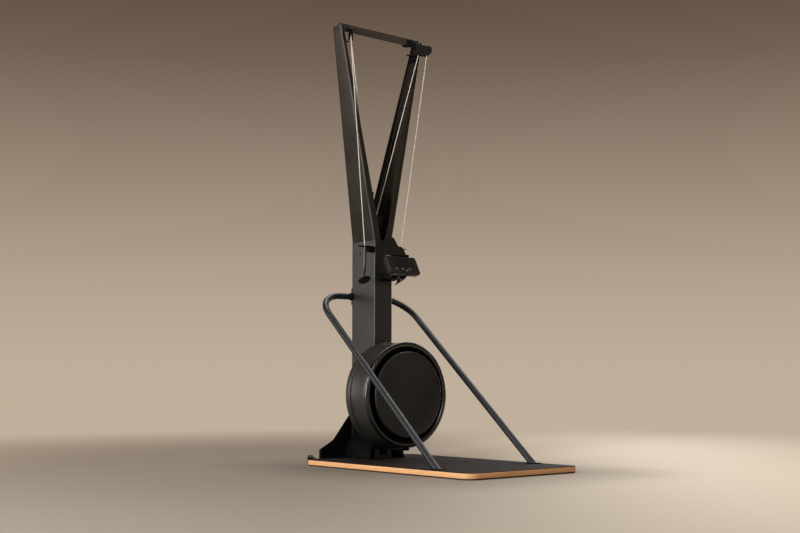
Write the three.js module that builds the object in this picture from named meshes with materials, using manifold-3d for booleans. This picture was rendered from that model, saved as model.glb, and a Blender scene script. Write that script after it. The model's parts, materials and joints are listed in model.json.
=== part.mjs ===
// A ski trainer: a column with two raised arms on a timber platform, two pull
// cords over pulleys, and an air fan that brakes them. Millimetres, +Z up,
// +X the user's right, -Y the side that the user stands on. The origin is the
// centre of the platform's underside.

import * as THREE from "three";
import { mergeVertices } from "three/addons/utils/BufferGeometryUtils.js";
import Module from "manifold-3d";

const wasm = await Module();
wasm.setup();

// Fits
const seatGap = 0.3;
const runGap = 0.6;
const overrun = 2;
const weldTolerance = 0.0001;

// Platform: underlay, timber board and anti-slip sheet
const platformWidth = 700;
const platformLength = 1190;
const platformCorner = 60;
const underlayThickness = 5.4;
const underlayInset = 4;
const boardThickness = 22;
const sheetThickness = 2;
const sheetInset = 1.5;

// Transport wheels at the rear edge
const wheelRadius = 22;
const wheelWidth = 14;
const wheelSpacing = 574;
const wheelFloorClearance = 4;
const wheelGrooveDepth = 1.5;
const wheelForkSheet = 3;
const wheelForkWidth = 44;
const wheelEarRadius = 10;
const wheelAxleRadius = 4;
const wheelAxleHead = 3;

// Column: a box section that stands near the rear edge
const columnWidth = 114;
const columnDepth = 187;
const columnRearSetback = 8;
const columnCorner = 5;
const columnWall = 3;
const seamHeight = 1125;

// Arms: two tapered channels, open towards the middle
const armTopHeight = 2200;
const armTopReach = 273;
const armTopDepth = 70;
const armTopSetback = 8;
const armTopRise = 8;
const armFlangeFoot = 42;
const armFlangeTop = 17.5;
const armSheet = 3;
const armBend = 8;

// Junction of column and arms
const sleeveDrop = 85;
const sleeveRise = 137;
const sleeveSetback = 70;
const sleeveWall = 4;
const cordEyeRadius = 7;
const cordEyeReach = 18;
const junctionPlateHalfWidth = 30;
const junctionPlateRise = 30;
const junctionPlateHeight = 47;
const junctionPlateSheet = 4;
const junctionPlateDepth = 20;
const backPlateRise = 7;
const backPlateHeight = 268;
const backPlateSheet = 3;
const backPlateFootHalfWidth = 50;
const backPlateTopHalfWidth = 60;
const boltRadius = 7;
const boltHeight = 4;
const junctionBoltReach = 16;
const junctionBoltRises = [12, 35];
const columnBoltDrop = 61;
const columnBoltSetbacks = [121, 157];
const armBoltDrops = [58, 11];
const armBoltSetbacks = [63, 41];

// Crossbar between the arms' tops
const crossbarRise = 19;
const crossbarHeight = 38;
const crossbarThickness = 12;
const crossbarSetback = 30;

// Blocks inside the arms' tops, each with its through pin
const armBlockDrop = 94;
const armBlockHeight = 42;
const armBlockMargin = 6;
const armPinRadius = 4;
const armPinTip = 2.5;
const armPinTaper = 12;
const armPinRise = 28;
const armPinReach = 50;

// Pulley heads
const headReach = 246.5;
const headForward = 39.4;
const headDrop = 50;
const headYaw = 38;
const headThickness = 23;
const headInner = 44;
const headOuter = 37;
const headInnerTop = 33;
const headOuterTop = 16;
const headRoof = 5;
const headInnerBottom = 25;
const headLowest = 33;
const headLowestAt = 9;
const headOuterBottom = 8;
const headRound = 6;
const headCavityWidth = 14;
const headCordSwing = 9;
const headNeckThickness = 20;
const headNeckLowest = 5;
const headNeckRun = 30;
const headNeckCheek = 6;
const headNeckFloor = 7;
const headNeckReach = 140;
const headNeckSink = 8;
const pulleyInset = 7;
const pulleyDrop = 5;
const pulleyRadius = 24;
const pulleyGrooveRadius = 19;
const pulleyWidth = 12;
const pulleyRim = 1.5;
const pulleyAxleRadius = 4;

// Cords
const cordRadius = 2.25;
const cordSides = 8;
const cordSteps = 10;

// Handles, hanging under their rests
const handleForward = 5;
const handleTopDrop = 38.3;
const handleTopReach = 118;
const gripRadius = 8.3;
const gripLength = 168;
const gripStraight = 100;
const gripEase = 18;
const gripCap = 2;
const gripSteps = 7;
const flareRadius = 32.5;
const flareEdge = 2.5;
const flareDepth = 16;
const flareSteps = 4;
const flareTilt = 34;
const handleTurns = [-33, -94];
const handleLeans = [1.8, 0];
const restThickness = 5;
const restReach = 88;
const restDepth = 30;
const restSlot = 8;
const restBlockReach = 38;
const restBlockDepth = 24;
const restBlockHeight = 25;

// Stabiliser: two bent tubes that meet inside the column
const tubeRadius = 16;
const tubeWall = 3;
const tubeFootReach = 302.1;
const tubeFootForward = 338.1;
const tubeCornerReach = 284.8;
const tubeCornerDrop = 277.8;
const tubeCornerSetback = 189.8;
const tubeBendRadius = 157;
const tubeJoinerLength = 100;
const tubeClampSheet = 4;
const tubeClampOverhang = 5;
const tubeClampHeight = 84;
const tubeClampBoltReach = 34;
const footPlateFront = 35;
const footPlateBack = 26;
const footPlateHalfWidth = 21;
const footPlateThickness = 4;

// Base brackets on the platform
const crossmemberHalfWidth = 257;
const crossmemberSheet = 4;
const crossmemberEndHeight = 43;
const crossmemberReturn = 18;
const crossmemberKneeReach = 172;
const crossmemberKneeHeight = 88;
const crossmemberShoulderReach = 78;
const crossmemberShoulderHeight = 202;
const crossmemberTopHeight = 228;
const crossmemberFlangeInner = 126;
const crossmemberFlangeDepth = 36;
const crossmemberBoltReach = 215;
const crossmemberColumnBoltHeights = [120, 200];
const sideBracketReach = 122;
const sideBracketFootReach = 108;
const sideBracketSheet = 4;
const sideBracketRearFold = [88, 80];
const sideBracketFrontFold = [100, 54];
const sideBracketShoulder = 30;
const sideBracketHeight = 200;
const sideBracketFront = 30;
const sideBracketRear = 17;
const sideBracketBoltReach = 115;
const sideBracketBoltMargin = 35;
const sideBracketColumnBoltHeight = 178;

// Air drum, its axis along Y; distances along the axis run forward from the column
const drumClearance = 58;
const drumBack = 22;
const drumRadius = 250;
const drumWall = 4;
const drumLipRadius = 258;
const drumLipEnd = 56;
const drumBandStart = 150;
const drumBandEnd = 172;
const drumMouth = 179;
const bezelRadius = 260;
const bezelFront = 188.5;
const bezelInnerRadius = 232;
const bezelRound = 8;
const bezelSpigotWall = 6;
const grilleBack = 160;
const grilleThickness = 4;
const grilleSlots = 36;
const grilleSlotInner = 150;
const grilleSlotOuter = 228;
const grilleSlotShare = 0.55;
const coverFront = 201.4;
const coverRadius = 211;
const coverRimDepth = 13;
const coverSheet = 4;
const coverDish = 8;
const coverRound = 4;
const coverBossRadius = 32;
const strutHalfWidth = 20;
const strutDepth = 12;
const strutFront = 178;
const strutPlateHeight = 40;
const strutPlateSheet = 4;

// Flywheel fan, its shaft and bearings
const fanRadius = 226;
const fanBladeRoot = 110;
const fanBladeCount = 26;
const fanBladeDepth = 104;
const fanBladeSheet = 3;
const fanBladeSweep = 18;
const fanDiscSheet = 6;
const fanBack = 34;
const fanHubRadius = 34;
const fanHubDepth = 34;
const fanRimWidth = 12;
const fanRimDepth = 10;
const shaftRadius = 8;
const shaftNose = 6;
const bossRadius = 62;
const spigotRadius = 26;
const spigotLength = 14;
const bearingRadius = 17;
const bearingWidth = 11;
const carrierAt = 150;
const carrierHalfHeight = 40;
const carrierThickness = 14;

// Cord spools on the shaft
const spoolRadius = 41;
const spoolCoreRadius = 32;
const spoolCoreWall = 3;
const spoolWidth = 24;
const spoolFlange = 2.5;
const spoolWeb = 5;
const spoolHubRadius = 13;
const leftSpoolAt = 60;
const rightSpoolAt = 110;

// Console, its arm and its holder
const consoleForward = 155.6;
const consoleDrop = 134.8;
const consoleTilt = 27.6;
const consoleWidth = 194;
const consoleHeight = 104;
const consoleDepth = 30;
const consoleCorner = 14;
const consoleEdge = 4;
const consoleDraft = 6;
const pivotDrop = 42;
const pivotBehind = 42;
const screenWidth = 141;
const screenHeight = 52;
const screenDepth = 3;
const screenRise = 13.3;
const screenCorner = 3;
const buttonRadius = 5;
const buttonRise = 2;
const buttonSink = 4;
const buttonTravel = 1.5;
const buttonRowDrop = 24.2;
const buttonLowDrop = 33.4;
const buttonRowReaches = [-52, -13, 31];
const buttonLowReach = 12;
const earRadius = 9;
const earWidth = 8;
const knuckleHalfWidth = 16;
const consolePinRadius = 4;
const consolePinHead = 2.5;
const armBracketHalfWidth = 46;
const armBracketHeight = 36;
const armBracketDrop = 205;
const armBracketSheet = 4;
const armBracketDepth = 42;
const armBracketBoltRises = [6.3, 28.6];
const armBracketBoltForward = 20;
const consoleArmRise = 3;
const consoleArmHeight = 30;
const consoleArmTaper = 70;
const consoleArmBack = 8;
const holderHalfWidth = 57;
const holderTopHalfWidth = 31;
const holderShoulder = 71;
const holderHeight = 131;
const holderReturn = 16;
const holderSheet = 4;
const holderLean = 8;
const holderSetback = 10;
const holderBaseSheet = 3;
const holderLip = 9;
const holderRound = 10;
const stayHalfWidth = 40;
const stayHeight = 62;

// Facets
const roundSides = 20;
const smallSides = 12;
const hexSides = 6;
const drumSides = 40;

// Places that follow from the sizes
const deckTop = underlayThickness + boardThickness + sheetThickness + 2 * seatGap;
const boardBottom = underlayThickness + seatGap;
const boardTop = boardBottom + boardThickness;
const platformRear = platformLength / 2;
const columnRear = platformRear - columnRearSetback;
const columnFront = columnRear - columnDepth;
const columnSide = columnWidth / 2;
const columnInner = columnSide - columnWall;
const columnFoot = deckTop + seatGap;
const armFoot = seamHeight + seatGap;
const sleeveBottom = seamHeight - sleeveDrop;
const sleeveTop = seamHeight + sleeveRise;
const junctionPlateBottom = seamHeight + junctionPlateRise;
const junctionPlateTop = junctionPlateBottom + junctionPlateHeight;
const backPlateBottom = seamHeight + backPlateRise;
const backPlateTop = backPlateBottom + backPlateHeight;
const crossbarTop = armTopHeight + crossbarRise;
const armBlockBottom = armTopHeight - armBlockDrop;
const armBlockTop = armBlockBottom + armBlockHeight;
const headHeight = armTopHeight - headDrop;
const handleTop = seamHeight - handleTopDrop;
const armBracketBottom = seamHeight - armBracketDrop;
const consoleArmBottom = armBracketBottom + consoleArmRise;
const consoleArmTop = consoleArmBottom + consoleArmHeight;
const drumHeight = deckTop + drumClearance + bezelRadius;

const colours = {
  birch: 0xb98a57,
  sheetBlack: 0x26221f,
  blackSteel: 0x1b1a1a,
  satinSteel: 0x2b2826,
  drumPaint: 0x3b3733,
  bezelPaint: 0x5a5856,
  coverPaint: 0x2a2725,
  darkPlastic: 0x2f3032,
  blackPlastic: 0x141415,
  tubePaint: 0x3c3c3e,
  rubber: 0x161616,
  cord: 0xd8d2c4,
  steel: 0x8d9093,
  aluminium: 0x9b9ea1,
  screen: 0x15100d,
  button: 0x8b8a84,
};

function material(colour, roughness, metalness) {
  return new THREE.MeshStandardMaterial({ color: colour, roughness, metalness });
}

const finishes = {
  birch: material(colours.birch, 0.6, 0),
  sheet: material(colours.sheetBlack, 0.85, 0),
  blackSteel: material(colours.blackSteel, 0.45, 0.2),
  satinSteel: material(colours.satinSteel, 0.35, 0.3),
  drum: material(colours.drumPaint, 0.35, 0.3),
  bezel: material(colours.bezelPaint, 0.3, 0.5),
  cover: material(colours.coverPaint, 0.2, 0.2),
  darkPlastic: material(colours.darkPlastic, 0.7, 0),
  blackPlastic: material(colours.blackPlastic, 0.3, 0),
  tube: material(colours.tubePaint, 0.35, 0.3),
  rubber: material(colours.rubber, 0.9, 0),
  cord: material(colours.cord, 0.8, 0),
  steel: material(colours.steel, 0.3, 0.9),
  aluminium: material(colours.aluminium, 0.4, 0.8),
  screen: material(colours.screen, 0.15, 0),
  button: material(colours.button, 0.5, 0),
};

const machine = new THREE.Group();

// Solids

function solid(geometry) {
  const bare = geometry.index ? geometry.toNonIndexed() : geometry.clone();
  bare.deleteAttribute("normal");
  bare.deleteAttribute("uv");
  const merged = mergeVertices(bare, weldTolerance);
  const corners = merged.index.array;
  const kept = [];
  for (let i = 0; i < corners.length; i += 3) {
    const [a, b, c] = [corners[i], corners[i + 1], corners[i + 2]];
    if (a !== b && b !== c && c !== a) kept.push(a, b, c);
  }
  const triVerts = new Uint32Array(kept);
  const vertProperties = merged.attributes.position.array;
  const made = new wasm.Manifold(new wasm.Mesh({ numProp: 3, vertProperties, triVerts }));
  if (made.volume() > 0) return made;
  for (let i = 0; i < triVerts.length; i += 3) {
    [triVerts[i], triVerts[i + 1]] = [triVerts[i + 1], triVerts[i]];
  }
  return new wasm.Manifold(new wasm.Mesh({ numProp: 3, vertProperties, triVerts }));
}

function geometryOf(body) {
  const mesh = body.getMesh();
  const geometry = new THREE.BufferGeometry();
  geometry.setAttribute("position", new THREE.BufferAttribute(mesh.vertProperties, mesh.numProp));
  geometry.setIndex(new THREE.BufferAttribute(mesh.triVerts, 1));
  return geometry;
}

function join(first, ...others) {
  let body = solid(first);
  for (const other of others) body = body.add(solid(other));
  return geometryOf(body);
}

function cut(first, ...others) {
  let body = solid(first);
  for (const other of others) body = body.subtract(solid(other));
  return geometryOf(body);
}

function point(x, y, z) {
  return new THREE.Vector3(x, y, z);
}

// A box between two opposite corners.
function block(x0, x1, y0, y1, z0, z1) {
  const box = new THREE.BoxGeometry(x1 - x0, y1 - y0, z1 - z0);
  return box.translate((x0 + x1) / 2, (y0 + y1) / 2, (z0 + z1) / 2);
}

// Turns a shape that is built along Y so that it runs along a direction from a place.
function aimed(geometry, origin, direction) {
  const turn = new THREE.Quaternion();
  turn.setFromUnitVectors(point(0, 1, 0), direction.clone().normalize());
  return geometry.applyQuaternion(turn).translate(origin.x, origin.y, origin.z);
}

function rod(from, to, radius, sides = smallSides) {
  const along = to.clone().sub(from);
  const length = along.length();
  const cylinder = new THREE.CylinderGeometry(radius, radius, length, sides);
  return aimed(cylinder.translate(0, length / 2, 0), from, along);
}

// A closed outline of [radius, height] pairs turned about an axis.
function turned(profile, origin, direction, sides) {
  const corners = profile.map(([radius, height]) => new THREE.Vector2(radius, height));
  corners.push(corners[0].clone());
  return aimed(new THREE.LatheGeometry(corners, sides), origin, direction);
}

function polygon(corners) {
  return new THREE.Shape(corners.map(([u, v]) => new THREE.Vector2(u, v)));
}

function roundedRectangle(width, height, radius) {
  const [w, h] = [width / 2, height / 2];
  const quarter = Math.PI / 2;
  const shape = new THREE.Shape();
  shape.absarc(w - radius, h - radius, radius, 0, quarter);
  shape.absarc(radius - w, h - radius, radius, quarter, 2 * quarter);
  shape.absarc(radius - w, radius - h, radius, 2 * quarter, 3 * quarter);
  shape.absarc(w - radius, radius - h, radius, 3 * quarter, 4 * quarter);
  return shape;
}

function extruded(shape, depth, curveSegments = 6) {
  return new THREE.ExtrudeGeometry(shape, { depth, bevelEnabled: false, curveSegments });
}

// Shapes drawn in a plane and extruded square to it.
function alongZ(shape, from, to, curveSegments) {
  return extruded(shape, to - from, curveSegments).translate(0, 0, from);
}

function alongX(shape, from, to, curveSegments) {
  const basis = new THREE.Matrix4().makeBasis(point(0, 1, 0), point(0, 0, 1), point(1, 0, 0));
  return extruded(shape, to - from, curveSegments).applyMatrix4(basis).translate(from, 0, 0);
}

function alongY(shape, from, to, curveSegments) {
  const basis = new THREE.Matrix4().makeBasis(point(1, 0, 0), point(0, 0, 1), point(0, -1, 0));
  return extruded(shape, to - from, curveSegments).applyMatrix4(basis).translate(0, to, 0);
}

function flatOnXY(corner) {
  return new THREE.Vector2(corner.x, corner.y);
}

function flatOnZX(corner) {
  return new THREE.Vector2(corner.z, corner.x);
}

// A closed surface between two outlines of as many corners, one beyond the other.
function lofted(lower, upper, flatten = flatOnXY) {
  const count = lower.length;
  const positions = [];
  const push = (...corners) => corners.forEach((corner) => positions.push(corner.x, corner.y, corner.z));
  for (let i = 0; i < count; i++) {
    const next = (i + 1) % count;
    push(lower[i], lower[next], upper[next]);
    push(lower[i], upper[next], upper[i]);
  }
  const cap = (ring) => {
    const flat = ring.map(flatten);
    const turn = Math.sign(THREE.ShapeUtils.area(flat));
    return THREE.ShapeUtils.triangulateShape(flat, []).map(([a, b, c]) => {
      const triangle = [flat[a], flat[b], flat[c]];
      return Math.sign(THREE.ShapeUtils.area(triangle)) === turn ? [a, b, c] : [a, c, b];
    });
  };
  for (const [a, b, c] of cap(lower)) push(lower[a], lower[c], lower[b]);
  for (const [a, b, c] of cap(upper)) push(upper[a], upper[b], upper[c]);
  const geometry = new THREE.BufferGeometry();
  geometry.setAttribute("position", new THREE.Float32BufferAttribute(positions, 3));
  return geometry;
}

function circle(radius, sides) {
  const corners = [];
  for (let i = 0; i < sides; i++) {
    const angle = (2 * Math.PI * i) / sides;
    corners.push([radius * Math.cos(angle), radius * Math.sin(angle)]);
  }
  return polygon(corners);
}

// A bolt's head, standing on a face.
function bolt(place, direction) {
  const up = direction.clone().normalize();
  const sunk = place.clone().addScaledVector(up, -overrun / 2);
  return rod(sunk, place.clone().addScaledVector(up, boltHeight), boltRadius, hexSides);
}

// A closed tube over rings of as many corners.
function ringsToTube(rings) {
  const count = rings.length;
  const sides = rings[0].length;
  const positions = [];
  const push = (...corners) => corners.forEach((corner) => positions.push(corner.x, corner.y, corner.z));
  for (let i = 0; i + 1 < count; i++) {
    for (let k = 0; k < sides; k++) {
      const next = (k + 1) % sides;
      push(rings[i][k], rings[i][next], rings[i + 1][next]);
      push(rings[i][k], rings[i + 1][next], rings[i + 1][k]);
    }
  }
  for (let k = 1; k + 1 < sides; k++) {
    push(rings[0][0], rings[0][k + 1], rings[0][k]);
    push(rings[count - 1][0], rings[count - 1][k], rings[count - 1][k + 1]);
  }
  const geometry = new THREE.BufferGeometry();
  geometry.setAttribute("position", new THREE.Float32BufferAttribute(positions, 3));
  return geometry;
}

// A tube through places, its section turned square to the path at each.
function tubeThrough(places, radii, sides) {
  const rings = places.map((place, i) => {
    const before = places[Math.max(i - 1, 0)];
    const after = places[Math.min(i + 1, places.length - 1)];
    const along = after.clone().sub(before).normalize();
    const side = point(0, 1, 0).cross(along).normalize();
    const up = along.clone().cross(side);
    const ring = [];
    for (let k = 0; k < sides; k++) {
      const angle = (2 * Math.PI * k) / sides;
      const corner = place.clone().addScaledVector(side, radii[i] * Math.cos(angle));
      ring.push(corner.addScaledVector(up, radii[i] * Math.sin(angle)));
    }
    return ring;
  });
  return ringsToTube(rings);
}

function mirrored(geometry) {
  const flipped = geometry.index ? geometry.toNonIndexed() : geometry.clone();
  flipped.scale(-1, 1, 1);
  const place = flipped.attributes.position;
  for (let i = 0; i < place.count; i += 3) {
    const [x, y, z] = [place.getX(i), place.getY(i), place.getZ(i)];
    place.setXYZ(i, place.getX(i + 2), place.getY(i + 2), place.getZ(i + 2));
    place.setXYZ(i + 2, x, y, z);
  }
  return flipped;
}

function add(name, geometry, finish, group = machine) {
  const body = geometryOf(solid(geometry));
  body.computeVertexNormals();
  const mesh = new THREE.Mesh(body, finish);
  mesh.name = name;
  group.add(mesh);
}

// A piece made for the right side, and its mirror image on the left.
function addPair(name, geometry, finish) {
  add(name + "_right", geometry, finish);
  add(name + "_left", mirrored(geometry), finish);
}

// Platform

function addPlatform() {
  const slab = (inset, from, to) => {
    const width = platformWidth - 2 * inset;
    const length = platformLength - 2 * inset;
    return alongZ(roundedRectangle(width, length, platformCorner - inset), from, to);
  };
  add("platform_underlay", slab(underlayInset, 0, underlayThickness), finishes.rubber);
  add("platform_board", slab(0, boardBottom, boardTop), finishes.birch);
  add("platform_top_sheet", slab(sheetInset, boardTop + seatGap, deckTop), finishes.sheet);
}

// Transport wheels

function addWheels() {
  const middle = wheelSpacing / 2;
  const forkBack = platformRear + seatGap;
  const axleY = forkBack + wheelForkSheet + runGap + wheelRadius;
  const axleZ = wheelFloorClearance + wheelRadius;
  const earInner = wheelWidth / 2 + runGap;
  const earOuter = earInner + wheelForkSheet;
  const holeRadius = wheelAxleRadius + seatGap;
  const backPlate = block(
    middle - wheelForkWidth / 2, middle + wheelForkWidth / 2,
    forkBack, forkBack + wheelForkSheet, boardBottom, boardTop,
  );
  const ear = (from, to) => {
    const web = block(from, to, forkBack, axleY, boardBottom, axleZ + wheelEarRadius);
    const end = rod(point(from, axleY, axleZ), point(to, axleY, axleZ), wheelEarRadius);
    return join(web, end);
  };
  const fork = join(
    backPlate,
    ear(middle - earOuter, middle - earInner),
    ear(middle + earInner, middle + earOuter),
  );
  const headRadius = wheelAxleRadius + wheelAxleHead;
  const outside = earOuter + wheelAxleHead;
  const across = (from, to, radius) => {
    return rod(point(middle + from, axleY, axleZ), point(middle + to, axleY, axleZ), radius);
  };
  const axle = join(
    across(-outside, outside, wheelAxleRadius),
    across(earOuter, outside, headRadius),
    across(-outside, -earOuter, headRadius),
  );
  addPair("wheel_fork", join(fork, axle), finishes.blackSteel);

  const half = wheelWidth / 2;
  const grooveHalf = wheelWidth / 4;
  const tread = [
    [holeRadius, -half], [wheelRadius - wheelGrooveDepth, -half], [wheelRadius, -grooveHalf],
    [wheelRadius, grooveHalf], [wheelRadius - wheelGrooveDepth, half], [holeRadius, half],
  ];
  const wheel = turned(tread, point(middle, axleY, axleZ), point(1, 0, 0), roundSides);
  addPair("transport_wheel", wheel, finishes.rubber);
}

// Column

function addColumn() {
  const tube = (shrink, from, to) => {
    const width = columnWidth - 2 * shrink;
    const depth = columnDepth - 2 * shrink;
    const section = alongZ(roundedRectangle(width, depth, columnCorner - shrink), from, to, 3);
    return section.translate(0, (columnFront + columnRear) / 2, 0);
  };
  const shell = cut(
    tube(0, columnFoot, seamHeight),
    tube(columnWall, columnFoot - overrun, seamHeight + overrun),
  );
  const spigotHole = rod(
    point(0, columnFront - overrun, drumHeight),
    point(0, columnFront + columnWall + overrun, drumHeight),
    spigotRadius + seatGap, roundSides,
  );
  const tubeHole = rod(
    point(-columnSide - overrun, tubeCorner.y, tubeCorner.z),
    point(columnSide + overrun, tubeCorner.y, tubeCorner.z),
    tubeRadius + seatGap, roundSides,
  );
  const bolts = [];
  for (const setback of columnBoltSetbacks) {
    for (const side of [-1, 1]) {
      const place = point(side * columnSide, columnFront + setback, seamHeight - columnBoltDrop);
      bolts.push(bolt(place, point(side, 0, 0)));
    }
  }
  add("column", join(cut(shell, spigotHole, tubeHole), ...bolts), finishes.satinSteel);
}

// Arms

function armShare(z) {
  return (z - seamHeight) / (armTopHeight - seamHeight);
}

function armOuter(z) {
  return columnSide + (armTopReach - columnSide) * armShare(z);
}

function armFlange(z) {
  return armFlangeFoot + (armFlangeTop - armFlangeFoot) * armShare(z);
}

function armFront(z) {
  return columnFront + armTopSetback * armShare(z);
}

function armRear(z) {
  const topRear = columnFront + armTopSetback + armTopDepth;
  return columnRear + (topRear - columnRear) * armShare(z);
}

// The channel's section at one height, its web on the +X side.
function channelSection(z) {
  const [outer, front, rear] = [armOuter(z), armFront(z), armRear(z)];
  const lip = outer - armFlange(z);
  const bendX = outer - armBend;
  const inside = armBend - armSheet;
  const corners = [point(lip, front, z)];
  const bendSteps = 3;
  const bend = (y, radius, from, turn) => {
    for (let i = 0; i <= bendSteps; i++) {
      const angle = from + (turn * i * Math.PI) / 2 / bendSteps;
      corners.push(point(bendX + radius * Math.cos(angle), y + radius * Math.sin(angle), z));
    }
  };
  bend(front + armBend, armBend, -Math.PI / 2, 1);
  bend(rear - armBend, armBend, 0, 1);
  corners.push(point(lip, rear, z), point(lip, rear - armSheet, z));
  bend(rear - armBend, inside, Math.PI / 2, -1);
  bend(front + armBend, inside, 0, -1);
  corners.push(point(lip, front + armSheet, z));
  return corners;
}

function addArms() {
  const peak = armTopHeight + armTopRise;
  const [peakFront, peakRear] = [armFront(armTopHeight), armRear(armTopHeight)];
  const slope = armTopRise / (peakRear - peakFront);
  const above = polygon([
    [peakFront - overrun, peak + overrun * slope], [peakRear + overrun, armTopHeight - overrun * slope],
    [peakRear + overrun, peak + armTopRise], [peakFront - overrun, peak + armTopRise],
  ]);
  const channel = cut(
    lofted(channelSection(armFoot), channelSection(peak)), alongX(above, 0, 2 * armTopReach),
  );
  const lean = Math.atan2(armTopReach - columnSide, armTopHeight - seamHeight);
  const outwards = point(Math.cos(lean), 0, -Math.sin(lean));
  const bolts = armBoltDrops.map((drop, i) => {
    const height = armTopHeight - drop;
    return bolt(point(armOuter(height), columnFront + armBoltSetbacks[i], height), outwards);
  });
  addPair("arm", join(channel, ...bolts), finishes.satinSteel);

  const reach = (z) => armOuter(z) - armSheet - seatGap;
  const lip = (z) => armOuter(z) - armFlange(z);
  const blockFront = armFront(armBlockTop) + armSheet + seatGap + armBlockMargin;
  const blockRear = armRear(armBlockTop) - armSheet - seatGap - armBlockMargin;
  const section = (z) => [
    point(lip(z), blockFront, z), point(reach(z), blockFront, z),
    point(reach(z), blockRear, z), point(lip(z), blockRear, z),
  ];
  const filler = lofted(section(armBlockBottom), section(armBlockTop));
  const pinHeight = armBlockBottom + armPinRise;
  const pinStart = reach(pinHeight) - overrun;
  const pinLength = pinStart - lip(pinHeight) + armPinReach;
  const pin = turned([
    [0, 0], [armPinRadius, 0], [armPinRadius, pinLength - armPinTaper],
    [armPinTip, pinLength], [0, pinLength],
  ], point(pinStart, (blockFront + blockRear) / 2, pinHeight), point(-1, 0, 0), smallSides);
  addPair("arm_block", join(filler, pin), finishes.blackPlastic);
}

// Junction of column and arms

function cordEntry(side) {
  return point(side * cordEyeReach, columnFront + sleeveSetback + sleeveWall + cordEyeRadius, sleeveTop);
}

function addJunction() {
  const half = columnInner - seatGap;
  const front = columnFront + sleeveSetback;
  const rear = armRear(sleeveTop) - armSheet - seatGap - backPlateSheet / 2;
  const outside = block(-half, half, front, rear, sleeveBottom, sleeveTop);
  const inside = block(
    sleeveWall - half, half - sleeveWall, front + sleeveWall, rear - sleeveWall,
    sleeveBottom - overrun, sleeveTop - sleeveWall,
  );
  const eye = (side) => {
    const place = cordEntry(side);
    const low = point(place.x, place.y, sleeveTop - sleeveWall - overrun);
    return rod(low, point(place.x, place.y, sleeveTop + overrun), cordEyeRadius);
  };
  const plateFront = armFront(junctionPlateTop) + armSheet + seatGap;
  const tray = block(
    -junctionPlateHalfWidth, junctionPlateHalfWidth, plateFront, plateFront + junctionPlateDepth,
    junctionPlateBottom, junctionPlateTop,
  );
  const trayInner = junctionPlateHalfWidth - junctionPlateSheet;
  const hollow = block(
    -trayInner, trayInner, plateFront - overrun, plateFront + junctionPlateDepth - junctionPlateSheet,
    junctionPlateBottom - overrun, junctionPlateTop + overrun,
  );
  const face = plateFront + junctionPlateDepth - junctionPlateSheet;
  const bolts = [];
  for (const rise of junctionBoltRises) {
    for (const side of [-1, 1]) {
      const place = point(side * junctionBoltReach, face, junctionPlateBottom + rise);
      bolts.push(bolt(place, point(0, -1, 0)));
    }
  }
  add("junction_plate", join(cut(tray, hollow), ...bolts), finishes.blackSteel);

  const plateRing = (z, halfWidth) => {
    const back = armRear(z) - armSheet - seatGap;
    return [
      point(-halfWidth, back - backPlateSheet, z), point(halfWidth, back - backPlateSheet, z),
      point(halfWidth, back, z), point(-halfWidth, back, z),
    ];
  };
  const backPlate = lofted(
    plateRing(backPlateBottom, backPlateFootHalfWidth),
    plateRing(backPlateTop, backPlateTopHalfWidth),
  );
  const sleeve = cut(outside, inside, eye(1), eye(-1));
  add("junction_sleeve", join(sleeve, backPlate), finishes.satinSteel);
}

// Crossbar and pulley heads

const crossbarFront = columnFront + crossbarSetback;
const crossbarRear = crossbarFront + crossbarThickness;
const crossbarBottom = crossbarTop - crossbarHeight;

function addCrossbar() {
  const half = armOuter(crossbarBottom) - armSheet - seatGap;
  const bar = block(-half, half, crossbarFront, crossbarRear, crossbarBottom, crossbarTop);
  add("crossbar", bar, finishes.satinSteel);
}

const headDirection = point(
  Math.sin(THREE.MathUtils.degToRad(headYaw)),
  -Math.cos(THREE.MathUtils.degToRad(headYaw)),
  0,
);
const headCentre = point(headReach, columnFront - headForward, headHeight);

// The pulley's own centre, nearer the crossbar than the head's.
const pulleyCentre = point(-pulleyInset, -pulleyDrop, 0);

// Carries a shape drawn in the pulley's plane, x outwards and y up, to the right head.
function onHead(geometry) {
  const up = point(0, 0, 1);
  const across = headDirection.clone().cross(up);
  const basis = new THREE.Matrix4().makeBasis(headDirection, up, across);
  return geometry.applyMatrix4(basis).translate(headCentre.x, headCentre.y, headCentre.z);
}

function roundedPolygon(corners, radius) {
  const shape = new THREE.Shape();
  const count = corners.length;
  const at = (i) => new THREE.Vector2(...corners[(i + count) % count]);
  for (let i = 0; i < count; i++) {
    const corner = at(i);
    const before = at(i - 1).sub(corner).setLength(radius).add(corner);
    const after = at(i + 1).sub(corner).setLength(radius).add(corner);
    if (i === 0) shape.moveTo(before.x, before.y);
    else shape.lineTo(before.x, before.y);
    shape.quadraticCurveTo(corner.x, corner.y, after.x, after.y);
  }
  return shape;
}

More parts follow.
